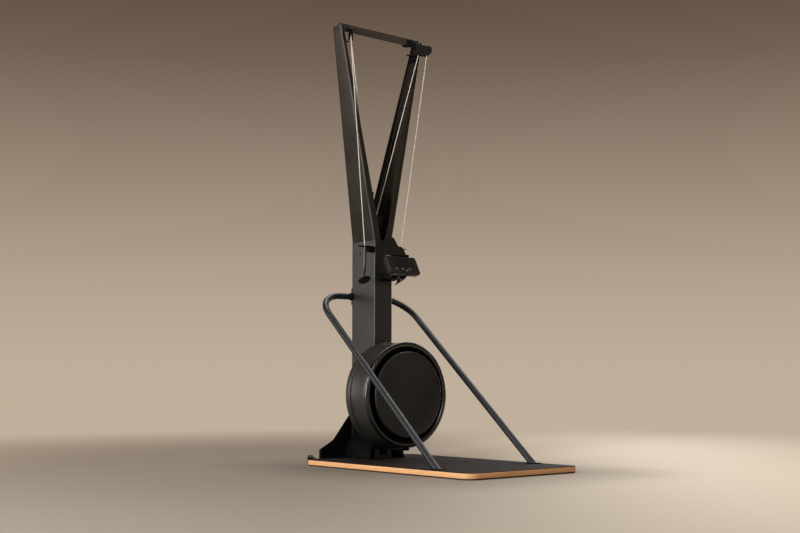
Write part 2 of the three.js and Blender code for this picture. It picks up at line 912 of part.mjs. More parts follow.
function addPulleyHeads() {
  const outline = [
    [-headInner, -headInnerBottom], [headLowestAt, -headLowest], [headOuter, -headOuterBottom],
    [headOuter, headOuterTop], [-headInner, headInnerTop],
  ];
  const body = extruded(roundedPolygon(outline, headRound), headThickness, 3);
  body.translate(0, 0, -headThickness / 2);
  const clear = pulleyRadius + 2 * runGap;
  const cheek = headCavityWidth / 2;
  const round = extruded(circle(clear, roundSides), headCavityWidth);
  round.translate(-pulleyInset, -pulleyDrop, -cheek);
  const below = block(
    -pulleyInset - clear - headCordSwing, -pulleyInset + clear,
    -headLowest - overrun, -pulleyDrop, -cheek, cheek,
  );
  const outside = block(
    -pulleyInset, headOuter + overrun, -headLowest - overrun, headOuterTop - headRoof, -cheek, cheek,
  );
  const end = headThickness / 2 + runGap;
  const axle = rod(
    pulleyCentre.clone().setZ(-end), pulleyCentre.clone().setZ(end), pulleyAxleRadius,
  );
  addPair("pulley_housing", onHead(join(cut(body, round, below, outside), axle)), finishes.darkPlastic);

  const half = pulleyWidth / 2;
  const wheelProfile = [
    [pulleyAxleRadius + seatGap, -half], [pulleyRadius, -half], [pulleyRadius, pulleyRim - half],
    [pulleyGrooveRadius, -pulleyRim], [pulleyGrooveRadius, pulleyRim], [pulleyRadius, half - pulleyRim],
    [pulleyRadius, half], [pulleyAxleRadius + seatGap, half],
  ];
  const wheel = turned(wheelProfile, pulleyCentre, point(0, 0, 1), roundSides);
  addPair("pulley_wheel", onHead(wheel), finishes.aluminium);

  const seat = -headInner - seatGap;
  const barFloor = crossbarBottom - headHeight - seatGap - headNeckFloor;
  const barTop = crossbarTop - headHeight - headNeckSink;
  const neckSide = polygon([
    [seat, headNeckLowest], [seat, headInnerTop], [seat - headNeckRun, barTop],
    [-headNeckReach, barTop], [-headNeckReach, barFloor], [seat - headNeckRun, barFloor],
  ]);
  const neck = extruded(neckSide, headNeckThickness).translate(0, 0, -headNeckThickness / 2);
  const cheekEnd = crossbarRear + seatGap + headNeckCheek;
  const behind = block(
    0, 2 * headReach, cheekEnd, cheekEnd + headNeckReach,
    headHeight - headNeckReach, headHeight + headNeckReach,
  );
  const tunnel = block(
    0, 2 * headReach, crossbarFront - seatGap, crossbarRear + seatGap,
    crossbarBottom - seatGap, crossbarTop + overrun,
  );
  addPair("head_mount", cut(onHead(neck), tunnel, behind), finishes.blackPlastic);
}

// Cords

const pitchRadius = pulleyGrooveRadius + cordRadius + seatGap;

function alongHead(distance, z) {
  return headCentre.clone().addScaledVector(headDirection, distance).setZ(z);
}

function onSpool(at) {
  return point(spoolCoreRadius + cordRadius + seatGap, columnFront + at + spoolWidth / 2, drumHeight);
}

function addCords() {
  const over = [];
  for (let i = 0; i <= cordSteps; i++) {
    const angle = (Math.PI * i) / cordSteps;
    const [across, up] = [pitchRadius * Math.cos(angle), pitchRadius * Math.sin(angle)];
    over.push(alongHead(across - pulleyInset, headHeight - pulleyDrop + up));
  }
  const cord = (entry, wound) => {
    const places = [...over, entry, wound];
    return tubeThrough(places, places.map(() => cordRadius), cordSides);
  };
  add("inner_cord_right", cord(cordEntry(1), onSpool(rightSpoolAt)), finishes.cord);
  const crossed = onSpool(leftSpoolAt);
  crossed.x = -crossed.x;
  add("inner_cord_left", mirrored(cord(cordEntry(1), crossed)), finishes.cord);

  const top = alongHead(pitchRadius - pulleyInset, headHeight - pulleyDrop - runGap);
  const end = point(handleTopReach, columnFront + handleForward, handleTop + runGap);
  addPair("outer_cord", rod(end, top, cordRadius, cordSides), finishes.cord);
}

// Handles and their rests

// A handle hung from the origin, its flare facing down and towards a direction.
function handleShape(outwards) {
  const tilt = THREE.MathUtils.degToRad(flareTilt);
  const facing = outwards.clone().multiplyScalar(Math.sin(tilt)).setZ(-Math.cos(tilt));
  const base = point(0, 0, -gripLength);
  const stemEnd = base.clone().addScaledVector(facing, seatGap - flareDepth);
  const curve = new THREE.CubicBezierCurve3(
    point(0, 0, -gripStraight), point(0, 0, -gripStraight - gripEase),
    stemEnd.clone().addScaledVector(facing, -gripEase), stemEnd,
  );
  const places = [point(0, 0, 0), point(0, 0, -gripCap), ...curve.getPoints(gripSteps)];
  const radii = places.map((place, i) => (i === 0 ? gripRadius - gripCap : gripRadius));
  const flare = [[0, 0], [flareRadius - flareEdge / 2, 0], [flareRadius, flareEdge / 2]];
  for (let i = 0; i <= flareSteps; i++) {
    const share = i / flareSteps;
    flare.push([
      gripRadius + (flareRadius - gripRadius) * (1 - share) ** 2,
      flareEdge + (flareDepth - flareEdge) * share,
    ]);
  }
  flare.push([0, flareDepth]);
  const trumpet = turned(flare, base, facing.clone().negate(), roundSides);
  return join(tubeThrough(places, radii, smallSides), trumpet);
}

function addHandles() {
  [1, -1].forEach((side, k) => {
    const turn = THREE.MathUtils.degToRad(handleTurns[k]);
    const outwards = point(Math.cos(turn), Math.sin(turn), 0);
    const lean = THREE.MathUtils.degToRad(handleLeans[k]);
    const top = point(side * handleTopReach, columnFront + handleForward, handleTop);
    const handle = handleShape(outwards).rotateY(lean).translate(top.x, top.y, top.z);
    add(side > 0 ? "handle_right" : "handle_left", handle, finishes.blackPlastic);
  });

  const bottom = handleTop + seatGap;
  const middle = columnFront + restReach / 8;
  const inner = columnSide + seatGap;
  const plate = block(
    inner, columnSide + restReach, middle - restDepth / 2, middle + restDepth / 2,
    bottom, bottom + restThickness,
  );
  const slot = join(
    rod(
      point(handleTopReach, columnFront + handleForward, bottom - overrun),
      point(handleTopReach, columnFront + handleForward, bottom + restThickness + overrun),
      restSlot / 2,
    ),
    block(
      handleTopReach - restSlot / 2, handleTopReach + restSlot / 2,
      middle - restDepth, columnFront + handleForward, bottom - overrun, bottom + restThickness + overrun,
    ),
  );
  const stub = block(
    inner, inner + restBlockReach, middle - restBlockDepth / 2, middle + restBlockDepth / 2,
    bottom - restBlockHeight, bottom + restThickness / 2,
  );
  addPair("handle_rest", join(cut(plate, slot), stub), finishes.blackSteel);
}

// Stabiliser

const tubeCorner = point(tubeCornerReach, columnFront + tubeCornerSetback, seamHeight - tubeCornerDrop);

function addStabiliser() {
  const plateTop = deckTop + seatGap + footPlateThickness;
  const foot = point(tubeFootReach, -tubeFootForward, deckTop);
  const downLeg = foot.clone().sub(tubeCorner).normalize();
  const along = point(-1, 0, 0);
  const turn = Math.acos(downLeg.dot(along));
  const reach = tubeBendRadius / Math.tan(turn / 2);
  const towards = downLeg.clone().add(along).normalize();
  const centre = tubeCorner.clone().addScaledVector(towards, tubeBendRadius / Math.sin(turn / 2));
  const bendStart = tubeCorner.clone().addScaledVector(along, reach);
  const bendEnd = tubeCorner.clone().addScaledVector(downLeg, reach);
  const path = [point(seatGap / 2, tubeCorner.y, tubeCorner.z), bendStart];
  const bendSteps = 8;
  const from = bendStart.clone().sub(centre);
  const to = bendEnd.clone().sub(centre);
  const sweep = from.angleTo(to);
  for (let i = 1; i < bendSteps; i++) {
    const share = i / bendSteps;
    const arm = from.clone().multiplyScalar(Math.sin((1 - share) * sweep) / Math.sin(sweep));
    arm.addScaledVector(to, Math.sin(share * sweep) / Math.sin(sweep));
    path.push(centre.clone().add(arm));
  }
  path.push(bendEnd, foot.clone().addScaledVector(downLeg, tubeRadius));
  const outer = ringTube(path, tubeRadius, roundSides);
  const boreStart = path[0].clone().addScaledVector(along, overrun);
  const boreEnd = foot.clone().addScaledVector(downLeg, 2 * tubeRadius);
  const bore = ringTube([boreStart, ...path.slice(1, -1), boreEnd], tubeRadius - tubeWall, smallSides);
  const ground = block(
    0, platformWidth, -platformLength, platformLength, -platformWidth, plateTop + seatGap,
  );
  addPair("stabiliser_tube", cut(outer, bore, ground), finishes.tube);

  const half = tubeJoinerLength / 2;
  const joinerRadius = tubeRadius - tubeWall - seatGap;
  const joiner = rod(
    point(-half, tubeCorner.y, tubeCorner.z), point(half, tubeCorner.y, tubeCorner.z),
    joinerRadius * Math.cos(Math.PI / smallSides), smallSides,
  );
  add("stabiliser_joiner", joiner, finishes.steel);

  const plate = block(
    tubeFootReach - footPlateHalfWidth, tubeFootReach + footPlateHalfWidth,
    -tubeFootForward - footPlateFront, -tubeFootForward + footPlateBack, deckTop + seatGap, plateTop,
  );
  addPair("stabiliser_foot", plate, finishes.blackSteel);

  const backing = columnRear + seatGap;
  const reachX = columnSide + seatGap + tubeClampOverhang;
  const clampHalf = tubeClampHeight / 2;
  const strap = block(
    -columnSide, columnSide, backing, backing + tubeClampSheet,
    tubeCorner.z - clampHalf, tubeCorner.z + clampHalf,
  );
  const acrossColumn = (radius) => rod(
    point(-reachX, tubeCorner.y, tubeCorner.z), point(reachX, tubeCorner.y, tubeCorner.z), radius, roundSides,
  );
  const saddle = acrossColumn(tubeRadius + seatGap + tubeClampSheet);
  const passage = rod(
    point(-reachX - overrun, tubeCorner.y, tubeCorner.z), point(reachX + overrun, tubeCorner.y, tubeCorner.z),
    tubeRadius + seatGap, roundSides,
  );
  const columnRoom = block(
    -columnSide - seatGap, columnSide + seatGap, columnFront, backing,
    tubeCorner.z - clampHalf - overrun, tubeCorner.z + clampHalf + overrun,
  );
  const nuts = [-1, 1].flatMap((side) => [-1, 1].map((end) => bolt(
    point((side * columnSide) / 2, backing + tubeClampSheet, tubeCorner.z + end * tubeClampBoltReach),
    point(0, 1, 0),
  )));
  const clamp = cut(join(strap, saddle), passage, columnRoom);
  add("stabiliser_clamp", join(clamp, ...nuts), finishes.blackSteel);
}

// A round bar along a bent path whose bends lie in one plane.
function ringTube(path, radius, sides) {
  const [start, second, last] = [path[0], path[1], path[path.length - 1]];
  const normal = second.clone().sub(start).cross(last.clone().sub(start)).normalize();
  const rings = path.map((place, i) => {
    const before = path[Math.max(i - 1, 0)];
    const after = path[Math.min(i + 1, path.length - 1)];
    const [arriving, leaving] = [place.clone().sub(before).normalize(), after.clone().sub(place).normalize()];
    const side = arriving.add(leaving).cross(normal).normalize();
    const ring = [];
    for (let k = 0; k < sides; k++) {
      const angle = (2 * Math.PI * (k + 1 / 2)) / sides;
      const corner = place.clone().addScaledVector(side, radius * Math.cos(angle));
      ring.push(corner.addScaledVector(normal, radius * Math.sin(angle)));
    }
    return ring;
  });
  return ringsToTube(rings);
}

// Base brackets

function addBase() {
  const deck = deckTop + seatGap;
  const back = columnRear + seatGap;
  const half = crossmemberHalfWidth;
  const side = [
    [half, deck], [half, deck + crossmemberEndHeight],
    [crossmemberKneeReach, deck + crossmemberKneeHeight],
    [crossmemberShoulderReach, deck + crossmemberShoulderHeight],
    [columnSide, deck + crossmemberTopHeight],
  ];
  const outline = [...side, ...side.map(([x, z]) => [-x, z]).reverse()];
  const sheet = alongY(polygon(outline), back, back + crossmemberSheet);
  const pieces = [];
  for (const sign of [-1, 1]) {
    const [a, b] = [sign * half, sign * (half - crossmemberSheet)];
    pieces.push(block(
      Math.min(a, b), Math.max(a, b), back - crossmemberReturn, back + crossmemberSheet,
      deck, deck + crossmemberEndHeight,
    ));
    const [c, d] = [sign * crossmemberFlangeInner, sign * half];
    pieces.push(block(
      Math.min(c, d), Math.max(c, d), back - crossmemberFlangeDepth, back + crossmemberSheet / 2,
      deck, deck + crossmemberSheet,
    ));
    const flangeMiddle = back - crossmemberFlangeDepth / 2;
    const onFlange = point(sign * crossmemberBoltReach, flangeMiddle, deck + crossmemberSheet);
    pieces.push(bolt(onFlange, point(0, 0, 1)));
    for (const height of crossmemberColumnBoltHeights) {
      const place = point(sign * columnSide / 2, back + crossmemberSheet, deck + height);
      pieces.push(bolt(place, point(0, 1, 0)));
    }
  }
  add("rear_crossmember", join(sheet, ...pieces), finishes.blackSteel);

  const inner = columnSide + seatGap;
  const face = inner + sideBracketSheet;
  const section = (y, [foldReach, foldHeight]) => {
    const shoulder = deck + foldHeight + sideBracketShoulder;
    const fold = deck + foldHeight;
    const t = sideBracketSheet;
    return [
      point(sideBracketReach, y, deck), point(sideBracketReach, y, deck + t),
      point(sideBracketFootReach + t, y, deck + t), point(foldReach + t / 2, y, fold),
      point(face, y, shoulder), point(face, y, deck + sideBracketHeight),
      point(inner, y, deck + sideBracketHeight), point(inner, y, shoulder - t),
      point(foldReach - t, y, fold - t), point(sideBracketFootReach, y, deck),
    ];
  };
  const web = lofted(
    section(columnFront - sideBracketFront, sideBracketFrontFold),
    section(columnRear - sideBracketRear, sideBracketRearFold),
    flatOnZX,
  );
  const heads = [columnFront + sideBracketBoltMargin, columnRear - 2 * sideBracketBoltMargin].flatMap((y) => [
    bolt(point(sideBracketBoltReach, y, deck + sideBracketSheet), point(0, 0, 1)),
    bolt(point(face, y, deck + sideBracketColumnBoltHeight), point(1, 0, 0)),
  ]);
  const drumRoom = block(
    0, platformWidth, 0, columnFront - drumBack + runGap, drumHeight - bezelRadius - seatGap, drumHeight,
  );
  addPair("side_bracket", join(cut(web, drumRoom), ...heads), finishes.blackSteel);
}

// Air drum

// A profile of [radius, distance forward of the column] pairs turned about the drum's axis.
function onDrum(profile, sides = drumSides) {
  return turned(profile, point(0, columnFront, drumHeight), point(0, -1, 0), sides);
}

function addDrum() {
  const inside = drumRadius - drumWall;
  const floor = drumBack + drumWall;
  const bore = bearingRadius + seatGap;
  const shoulderBore = shaftRadius + runGap;
  const shell = onDrum([
    [bore, drumBack], [drumLipRadius, drumBack], [drumLipRadius, drumLipEnd], [drumRadius, drumLipEnd],
    [drumRadius, drumBandStart], [drumLipRadius, drumBandStart], [drumLipRadius, drumBandEnd],
    [drumRadius, drumBandEnd], [drumRadius, drumMouth], [inside, drumMouth], [inside, floor], [bore, floor],
  ]);
  const hub = onDrum([
    [bore, -spigotLength], [spigotRadius, -spigotLength], [spigotRadius, seatGap], [bossRadius, seatGap],
    [bossRadius, floor], [shoulderBore, floor],
    [shoulderBore, bearingWidth - spigotLength + seatGap], [bore, bearingWidth - spigotLength + seatGap],
  ], roundSides);
  add("drum_housing", join(shell, hub), finishes.drum);

  const spigot = inside - seatGap;
  const spigotInner = spigot - bezelSpigotWall;
  const flangeBack = drumMouth + seatGap;
  const seat = grilleBack + grilleThickness + seatGap;
  const bezel = onDrum([
    [spigot, seat], [spigot, flangeBack], [bezelRadius, flangeBack],
    [bezelRadius, bezelFront - bezelRound / 2], [bezelRadius - bezelRound / 2, bezelFront],
    [bezelInnerRadius + bezelRound, bezelFront], [bezelInnerRadius, bezelFront - bezelRound],
    [bezelInnerRadius, flangeBack], [spigotInner, flangeBack], [spigotInner, seat],
  ]);
  add("drum_bezel", bezel, finishes.bezel);

  const grilleFront = grilleBack + grilleThickness;
  const grilleDisc = onDrum([
    [shaftRadius + coverSheet, grilleBack], [spigot, grilleBack], [spigot, grilleFront],
    [shaftRadius + coverSheet, grilleFront],
  ]);
  const slots = [];
  for (let i = 0; i < grilleSlots; i++) {
    const pitch = (2 * Math.PI) / grilleSlots;
    const half = (pitch * grilleSlotShare) / 2;
    const shape = new THREE.Shape();
    shape.absarc(0, 0, grilleSlotOuter, i * pitch - half, i * pitch + half);
    shape.absarc(0, 0, grilleSlotInner, i * pitch + half, i * pitch - half, true);
    const slot = alongY(shape, columnFront - grilleFront - overrun, columnFront - grilleBack + overrun, 1);
    slots.push(slot.translate(0, 0, drumHeight));
  }
  add("intake_grille", cut(grilleDisc, ...slots), finishes.blackPlastic);

  const rimBack = coverFront - coverRimDepth;
  const dishBack = coverFront - coverDish - coverSheet;
  const boss = onDrum([
    [coverBossRadius - coverSheet, grilleFront + seatGap], [coverBossRadius, grilleFront + seatGap],
    [coverBossRadius, dishBack + coverSheet / 2], [coverBossRadius - coverSheet, dishBack + coverSheet / 2],
  ], roundSides);
  const dish = onDrum([
    [coverRadius - coverSheet, rimBack], [coverRadius, rimBack], [coverRadius, coverFront - coverRound],
    [coverRadius - coverRound, coverFront],
    [coverRadius - 4 * coverRound, coverFront], [coverRadius / 2, coverFront - coverDish],
    [0, dishBack + coverSheet], [0, dishBack], [coverRadius / 2, dishBack],
    [coverRadius - 4 * coverRound, coverFront - coverSheet],
    [coverRadius - coverSheet, coverFront - coverSheet],
  ]);
  add("drum_cover", join(dish, boss), finishes.cover);

  const strutTop = drumHeight - bezelRadius - seatGap;
  const beam = block(
    -strutHalfWidth, strutHalfWidth, columnFront - strutFront, columnFront - seatGap,
    strutTop - strutDepth, strutTop,
  );
  const foot = block(
    -strutHalfWidth, strutHalfWidth, columnFront - seatGap - strutPlateSheet, columnFront - seatGap,
    strutTop - strutPlateHeight, strutTop,
  );
  add("drum_strut", join(beam, foot), finishes.blackSteel);
}

// Flywheel fan, shaft and bearings

function addFan() {
  const bore = shaftRadius + seatGap;
  const discBack = fanBack;
  const discFront = fanBack + fanDiscSheet;
  const bladeFront = discFront + fanBladeDepth;
  const disc = onDrum([
    [bore, discBack], [fanRadius, discBack], [fanRadius, discFront], [fanHubRadius, discFront],
    [fanHubRadius, discBack + fanHubDepth], [bore, discBack + fanHubDepth],
  ], roundSides * 2);
  const rim = onDrum([
    [fanRadius - fanRimWidth, bladeFront - fanRimDepth], [fanRadius, bladeFront - fanRimDepth],
    [fanRadius, bladeFront], [fanRadius - fanRimWidth, bladeFront],
  ], roundSides * 2);
  const length = fanRadius - fanRimWidth / 2 - fanBladeRoot;
  const sweep = THREE.MathUtils.degToRad(fanBladeSweep);
  const blades = [];
  for (let i = 0; i < fanBladeCount; i++) {
    const blade = block(
      0, length, columnFront - bladeFront + fanRimDepth / 2, columnFront - discFront + fanDiscSheet / 2,
      -fanBladeSheet / 2, fanBladeSheet / 2,
    );
    blade.rotateY(sweep).translate(fanBladeRoot, 0, 0);
    blade.rotateY((2 * Math.PI * i) / fanBladeCount).translate(0, 0, drumHeight);
    blades.push(blade);
  }
  add("flywheel_fan", join(disc, rim, ...blades), finishes.aluminium);

  const shaftFront = discBack + fanHubDepth + shaftNose;
  const shaftEnd = -carrierAt - carrierThickness;
  const shaft = onDrum([
    [0, shaftEnd], [shaftRadius, shaftEnd], [shaftRadius, shaftFront], [0, shaftFront],
  ], roundSides);
  add("fan_shaft", shaft, finishes.steel);

  const bearing = (from) => onDrum([
    [bore, from], [bearingRadius, from], [bearingRadius, from + bearingWidth], [bore, from + bearingWidth],
  ], roundSides);
  add("front_bearing", bearing(-spigotLength), finishes.steel);
  const pocket = -carrierAt - bearingWidth;
  add("rear_bearing", bearing(pocket), finishes.steel);

  const half = columnInner - seatGap;
  const plate = block(
    -half, half, columnFront + carrierAt - seatGap, columnFront + carrierAt + carrierThickness,
    drumHeight - carrierHalfHeight, drumHeight + carrierHalfHeight,
  );
  const seat = onDrum([
    [0, pocket - seatGap], [bearingRadius + seatGap, pocket - seatGap],
    [bearingRadius + seatGap, overrun - carrierAt], [0, overrun - carrierAt],
  ], roundSides);
  const through = onDrum([
    [0, shaftEnd - overrun], [shaftRadius + runGap, shaftEnd - overrun],
    [shaftRadius + runGap, -carrierAt], [0, -carrierAt],
  ], roundSides);
  add("bearing_carrier", cut(plate, seat, through), finishes.blackSteel);

  const spool = (at) => {
    const [near, far] = [-at - spoolWidth, -at];
    const web = (near + far) / 2;
    const hole = shaftRadius + runGap;
    const rimInner = spoolCoreRadius - spoolCoreWall;
    return onDrum([
      [hole, near], [spoolHubRadius, near], [spoolHubRadius, web - spoolWeb / 2],
      [rimInner, web - spoolWeb / 2], [rimInner, near], [spoolRadius, near],
      [spoolRadius, near + spoolFlange],
      [spoolCoreRadius, near + spoolFlange], [spoolCoreRadius, far - spoolFlange],
      [spoolRadius, far - spoolFlange], [spoolRadius, far], [rimInner, far], [rimInner, web + spoolWeb / 2],
      [spoolHubRadius, web + spoolWeb / 2], [spoolHubRadius, far], [hole, far],
    ], smallSides);
  };
  add("cord_spool_left", spool(leftSpoolAt), finishes.darkPlastic);
  add("cord_spool_right", spool(rightSpoolAt), finishes.darkPlastic);
}

// Console

const consoleCentre = point(0, columnFront - consoleForward, seamHeight - consoleDrop);
const tiltAngle = THREE.MathUtils.degToRad(consoleTilt);
const faceUp = point(0, Math.sin(tiltAngle), Math.cos(tiltAngle));
const faceOut = point(0, -Math.cos(tiltAngle), Math.sin(tiltAngle));

// Carries a shape drawn on the console's face, x right, y up and z out of it, to its place.
function onConsole(geometry) {
  const basis = new THREE.Matrix4().makeBasis(point(1, 0, 0), faceUp, faceOut);
  return geometry.applyMatrix4(basis).translate(consoleCentre.x, consoleCentre.y, consoleCentre.z);
}

const pivot = consoleCentre.clone()
  .addScaledVector(faceUp, -pivotDrop)
  .addScaledVector(faceOut, -pivotBehind);

function buttonPlaces() {
  const row = buttonRowReaches.map((reach) => [reach, -buttonRowDrop]);
  return [row[0], row[1], [buttonLowReach, -buttonLowDrop], row[2]];
}

function addConsole() {
  const ring = (shrink, z) => {
    const [width, height] = [consoleWidth - 2 * shrink, consoleHeight - 2 * shrink];
    const shape = roundedRectangle(width, height, consoleCorner - shrink);
    return shape.getPoints(4).slice(0, -1).map((corner) => point(corner.x, corner.y, z));
  };
  const body = ringsToTube([
    ring(consoleDraft, -consoleDepth), ring(0, -consoleEdge), ring(consoleEdge / 4, -consoleEdge / 4),
    ring(consoleEdge, 0),
  ]);
  const window = alongZ(
    roundedRectangle(screenWidth, screenHeight, screenCorner), -screenDepth, overrun, 2,
  ).translate(0, screenRise, 0);
  const pockets = buttonPlaces().map(([x, y]) => rod(
    point(x, y, -buttonSink - buttonTravel - runGap), point(x, y, overrun), buttonRadius + seatGap,
  ));
  const ears = [-1, 1].flatMap((side) => {
    const [a, b] = [side * (knuckleHalfWidth + runGap), side * (knuckleHalfWidth + runGap + earWidth)];
    const web = block(
      Math.min(a, b), Math.max(a, b), -pivotDrop - earRadius, -pivotDrop + earRadius,
      -pivotBehind, -consoleDepth + overrun,
    );
    return [web, rod(point(a, -pivotDrop, -pivotBehind), point(b, -pivotDrop, -pivotBehind), earRadius)];
  });
  const earReach = knuckleHalfWidth + runGap + earWidth;
  const bore = rod(
    point(-earReach - overrun, -pivotDrop, -pivotBehind), point(earReach + overrun, -pivotDrop, -pivotBehind),
    consolePinRadius + seatGap,
  );
  const shell = cut(join(body, ...ears), window, bore, ...pockets);
  add("console_case", onConsole(shell), finishes.darkPlastic);

  const glass = alongZ(
    roundedRectangle(screenWidth - 2 * seatGap, screenHeight - 2 * seatGap, screenCorner - seatGap),
    seatGap - screenDepth, -seatGap, 2,
  ).translate(0, screenRise, 0);
  add("console_screen", onConsole(glass), finishes.screen);

  buttonPlaces().forEach(([x, y], i) => {
    const cap = rod(point(x, y, -buttonSink), point(x, y, buttonRise), buttonRadius);
    add("console_button_" + (i + 1), onConsole(cap), finishes.button);
  });

  const pinHalf = earReach + seatGap;
  const pinEnd = (x) => point(x, -pivotDrop, -pivotBehind);
  const pin = join(
    rod(pinEnd(-pinHalf), pinEnd(pinHalf), consolePinRadius),
    rod(pinEnd(-pinHalf - consolePinHead), pinEnd(-pinHalf), consolePinRadius + consolePinHead),
    rod(pinEnd(pinHalf), pinEnd(pinHalf + consolePinHead), consolePinRadius + consolePinHead),
  );
  add("console_pin", onConsole(pin), finishes.steel);
}

function addHolder() {
  const foot = consoleHeight / 2 + seatGap;
  const base = block(
    -holderHalfWidth, holderHalfWidth, foot, foot + holderBaseSheet, -consoleDepth, 0,
  );
  const outline = [
    [-holderHalfWidth, 0], [holderHalfWidth, 0], [holderHalfWidth, holderShoulder],
    [holderTopHalfWidth, holderShoulder], [holderTopHalfWidth, holderHeight],
    [-holderTopHalfWidth, holderHeight], [-holderTopHalfWidth, holderShoulder],
    [-holderHalfWidth, holderShoulder],
  ];
  const returns = [-1, 1].map((side) => {
    const [a, b] = [side * holderTopHalfWidth, side * (holderTopHalfWidth - holderSheet)];
    return block(
      Math.min(a, b), Math.max(a, b), holderShoulder - holderRound, holderHeight - holderRound,
      -holderReturn, holderSheet / 2,
    );
  });
  const plate = join(extruded(roundedPolygon(outline, holderRound), holderSheet, 3), ...returns);
  plate.rotateX(-THREE.MathUtils.degToRad(holderLean));
  plate.translate(0, foot + holderBaseSheet / 3, -holderSetback - holderSheet);
  const lip = block(
    -holderHalfWidth, holderHalfWidth, foot, foot + holderLip, 0, holderSheet,
  );
  const stay = extruded(
    roundedPolygon([
      [-stayHalfWidth, 0], [stayHalfWidth, 0], [stayHalfWidth, stayHeight], [-stayHalfWidth, stayHeight],
    ], holderRound), holderSheet, 3,
  ).translate(0, foot + holderBaseSheet / 3, -consoleDepth);
  add("phone_holder", onConsole(join(base, plate, lip, stay)), finishes.darkPlastic);
}

function addConsoleArm() {
  const back = columnFront - seatGap;
  const top = armBracketBottom + armBracketHeight;
  const channel = block(
    -armBracketHalfWidth, armBracketHalfWidth, back - armBracketDepth, back, armBracketBottom, top,
  );
  const gap = armBracketHalfWidth - armBracketSheet;
  const hollow = block(
    -gap, gap, back - armBracketDepth - overrun, back - armBracketSheet,
    armBracketBottom - overrun, top + overrun,
  );
  const heads = armBracketBoltRises.flatMap((rise) => [-1, 1].map((side) => {
    const place = point(side * armBracketHalfWidth, back - armBracketBoltForward, armBracketBottom + rise);
    return bolt(place, point(side, 0, 0));
  }));
  add("console_bracket", join(cut(channel, hollow), ...heads), finishes.blackSteel);

  const half = gap - seatGap;
  const armBack = back - consoleArmBack;
  const knuckle = knuckleHalfWidth;
  const side = new THREE.Shape();
  side.moveTo(armBack, consoleArmBottom);
  side.lineTo(armBack, consoleArmTop);
  side.lineTo(pivot.y + consoleArmTaper, consoleArmTop);
  side.lineTo(pivot.y + earRadius / 2, pivot.z + earRadius - overrun);
  side.lineTo(pivot.y + earRadius / 2, consoleArmBottom);
  const beam = alongX(side, -half, half);
  const nose = join(
    rod(point(-knuckle, pivot.y, pivot.z), point(knuckle, pivot.y, pivot.z), earRadius),
    block(
      -knuckle, knuckle, pivot.y, pivot.y + 2 * earRadius,
      pivot.z - earRadius, pivot.z + earRadius - overrun,
    ),
  );
  const room = [-1, 1].map((sign) => {
    const [a, b] = [sign * knuckle, sign * (half + overrun)];
    return block(
      Math.min(a, b), Math.max(a, b), pivot.y - 2 * earRadius, pivot.y + 2 * earRadius,
      consoleArmBottom - earRadius, consoleArmTop,
    );
  });
  const bore = rod(
    point(-half, pivot.y, pivot.z), point(half, pivot.y, pivot.z), consolePinRadius + seatGap,
  );
  add("console_arm", cut(join(beam, nose), ...room, bore), finishes.blackSteel);
}

addPlatform();
addWheels();
addColumn();
addArms();
addJunction();
addCrossbar();
addPulleyHeads();
addCords();
addHandles();
addStabiliser();
addBase();
addDrum();
addFan();
addConsole();
addHolder();
addConsoleArm();

export default machine;
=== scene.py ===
"""Dresses a standing ski trainer over its frame.

The stage and the cords come first, then the platform, the air drum, the stabiliser, the handles,
the wheels, the console, and last the plain sheet metal and brackets.
"""

import json
import math

import bmesh
import bpy
from bpy.props import FloatProperty, FloatVectorProperty, IntProperty, PointerProperty
from mathutils import Matrix, Vector


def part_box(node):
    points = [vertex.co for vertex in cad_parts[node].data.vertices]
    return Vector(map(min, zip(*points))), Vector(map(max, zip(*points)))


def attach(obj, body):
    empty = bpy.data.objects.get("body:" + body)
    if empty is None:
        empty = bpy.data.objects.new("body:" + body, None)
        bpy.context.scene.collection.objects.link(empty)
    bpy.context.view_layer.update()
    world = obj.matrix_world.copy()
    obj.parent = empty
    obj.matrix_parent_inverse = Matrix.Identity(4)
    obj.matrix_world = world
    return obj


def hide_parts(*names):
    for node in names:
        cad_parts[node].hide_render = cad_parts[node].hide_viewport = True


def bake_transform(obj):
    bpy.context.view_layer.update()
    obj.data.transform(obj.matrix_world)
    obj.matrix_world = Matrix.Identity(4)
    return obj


bl_info = {
    "name": "Ski Trainer",
    "version": (1, 0, 0),
    "blender": (4, 5, 0),
    "location": "View3D > Sidebar > Ski Trainer",
    "description": "Builds the finished pieces of a standing ski trainer over its frame",
    "category": "Object",
}

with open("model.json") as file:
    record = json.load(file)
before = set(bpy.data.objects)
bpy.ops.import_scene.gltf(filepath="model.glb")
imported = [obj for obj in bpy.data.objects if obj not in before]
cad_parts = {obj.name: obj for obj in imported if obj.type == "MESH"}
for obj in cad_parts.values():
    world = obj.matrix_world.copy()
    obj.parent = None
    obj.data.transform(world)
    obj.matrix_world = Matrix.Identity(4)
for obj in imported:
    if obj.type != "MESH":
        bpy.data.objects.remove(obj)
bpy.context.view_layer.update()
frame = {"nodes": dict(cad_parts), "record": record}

MM = 0.001
TURN = 2 * math.pi
UP = Vector((0, 0, 1))
SIDES = (("right", 1), ("left", -1))

# Corners this close are one, in metres: in the script's own shapes, and in the frame's nodes
SAME_PLACE = 1e-6
SAME_NODE_PLACE = 2e-5

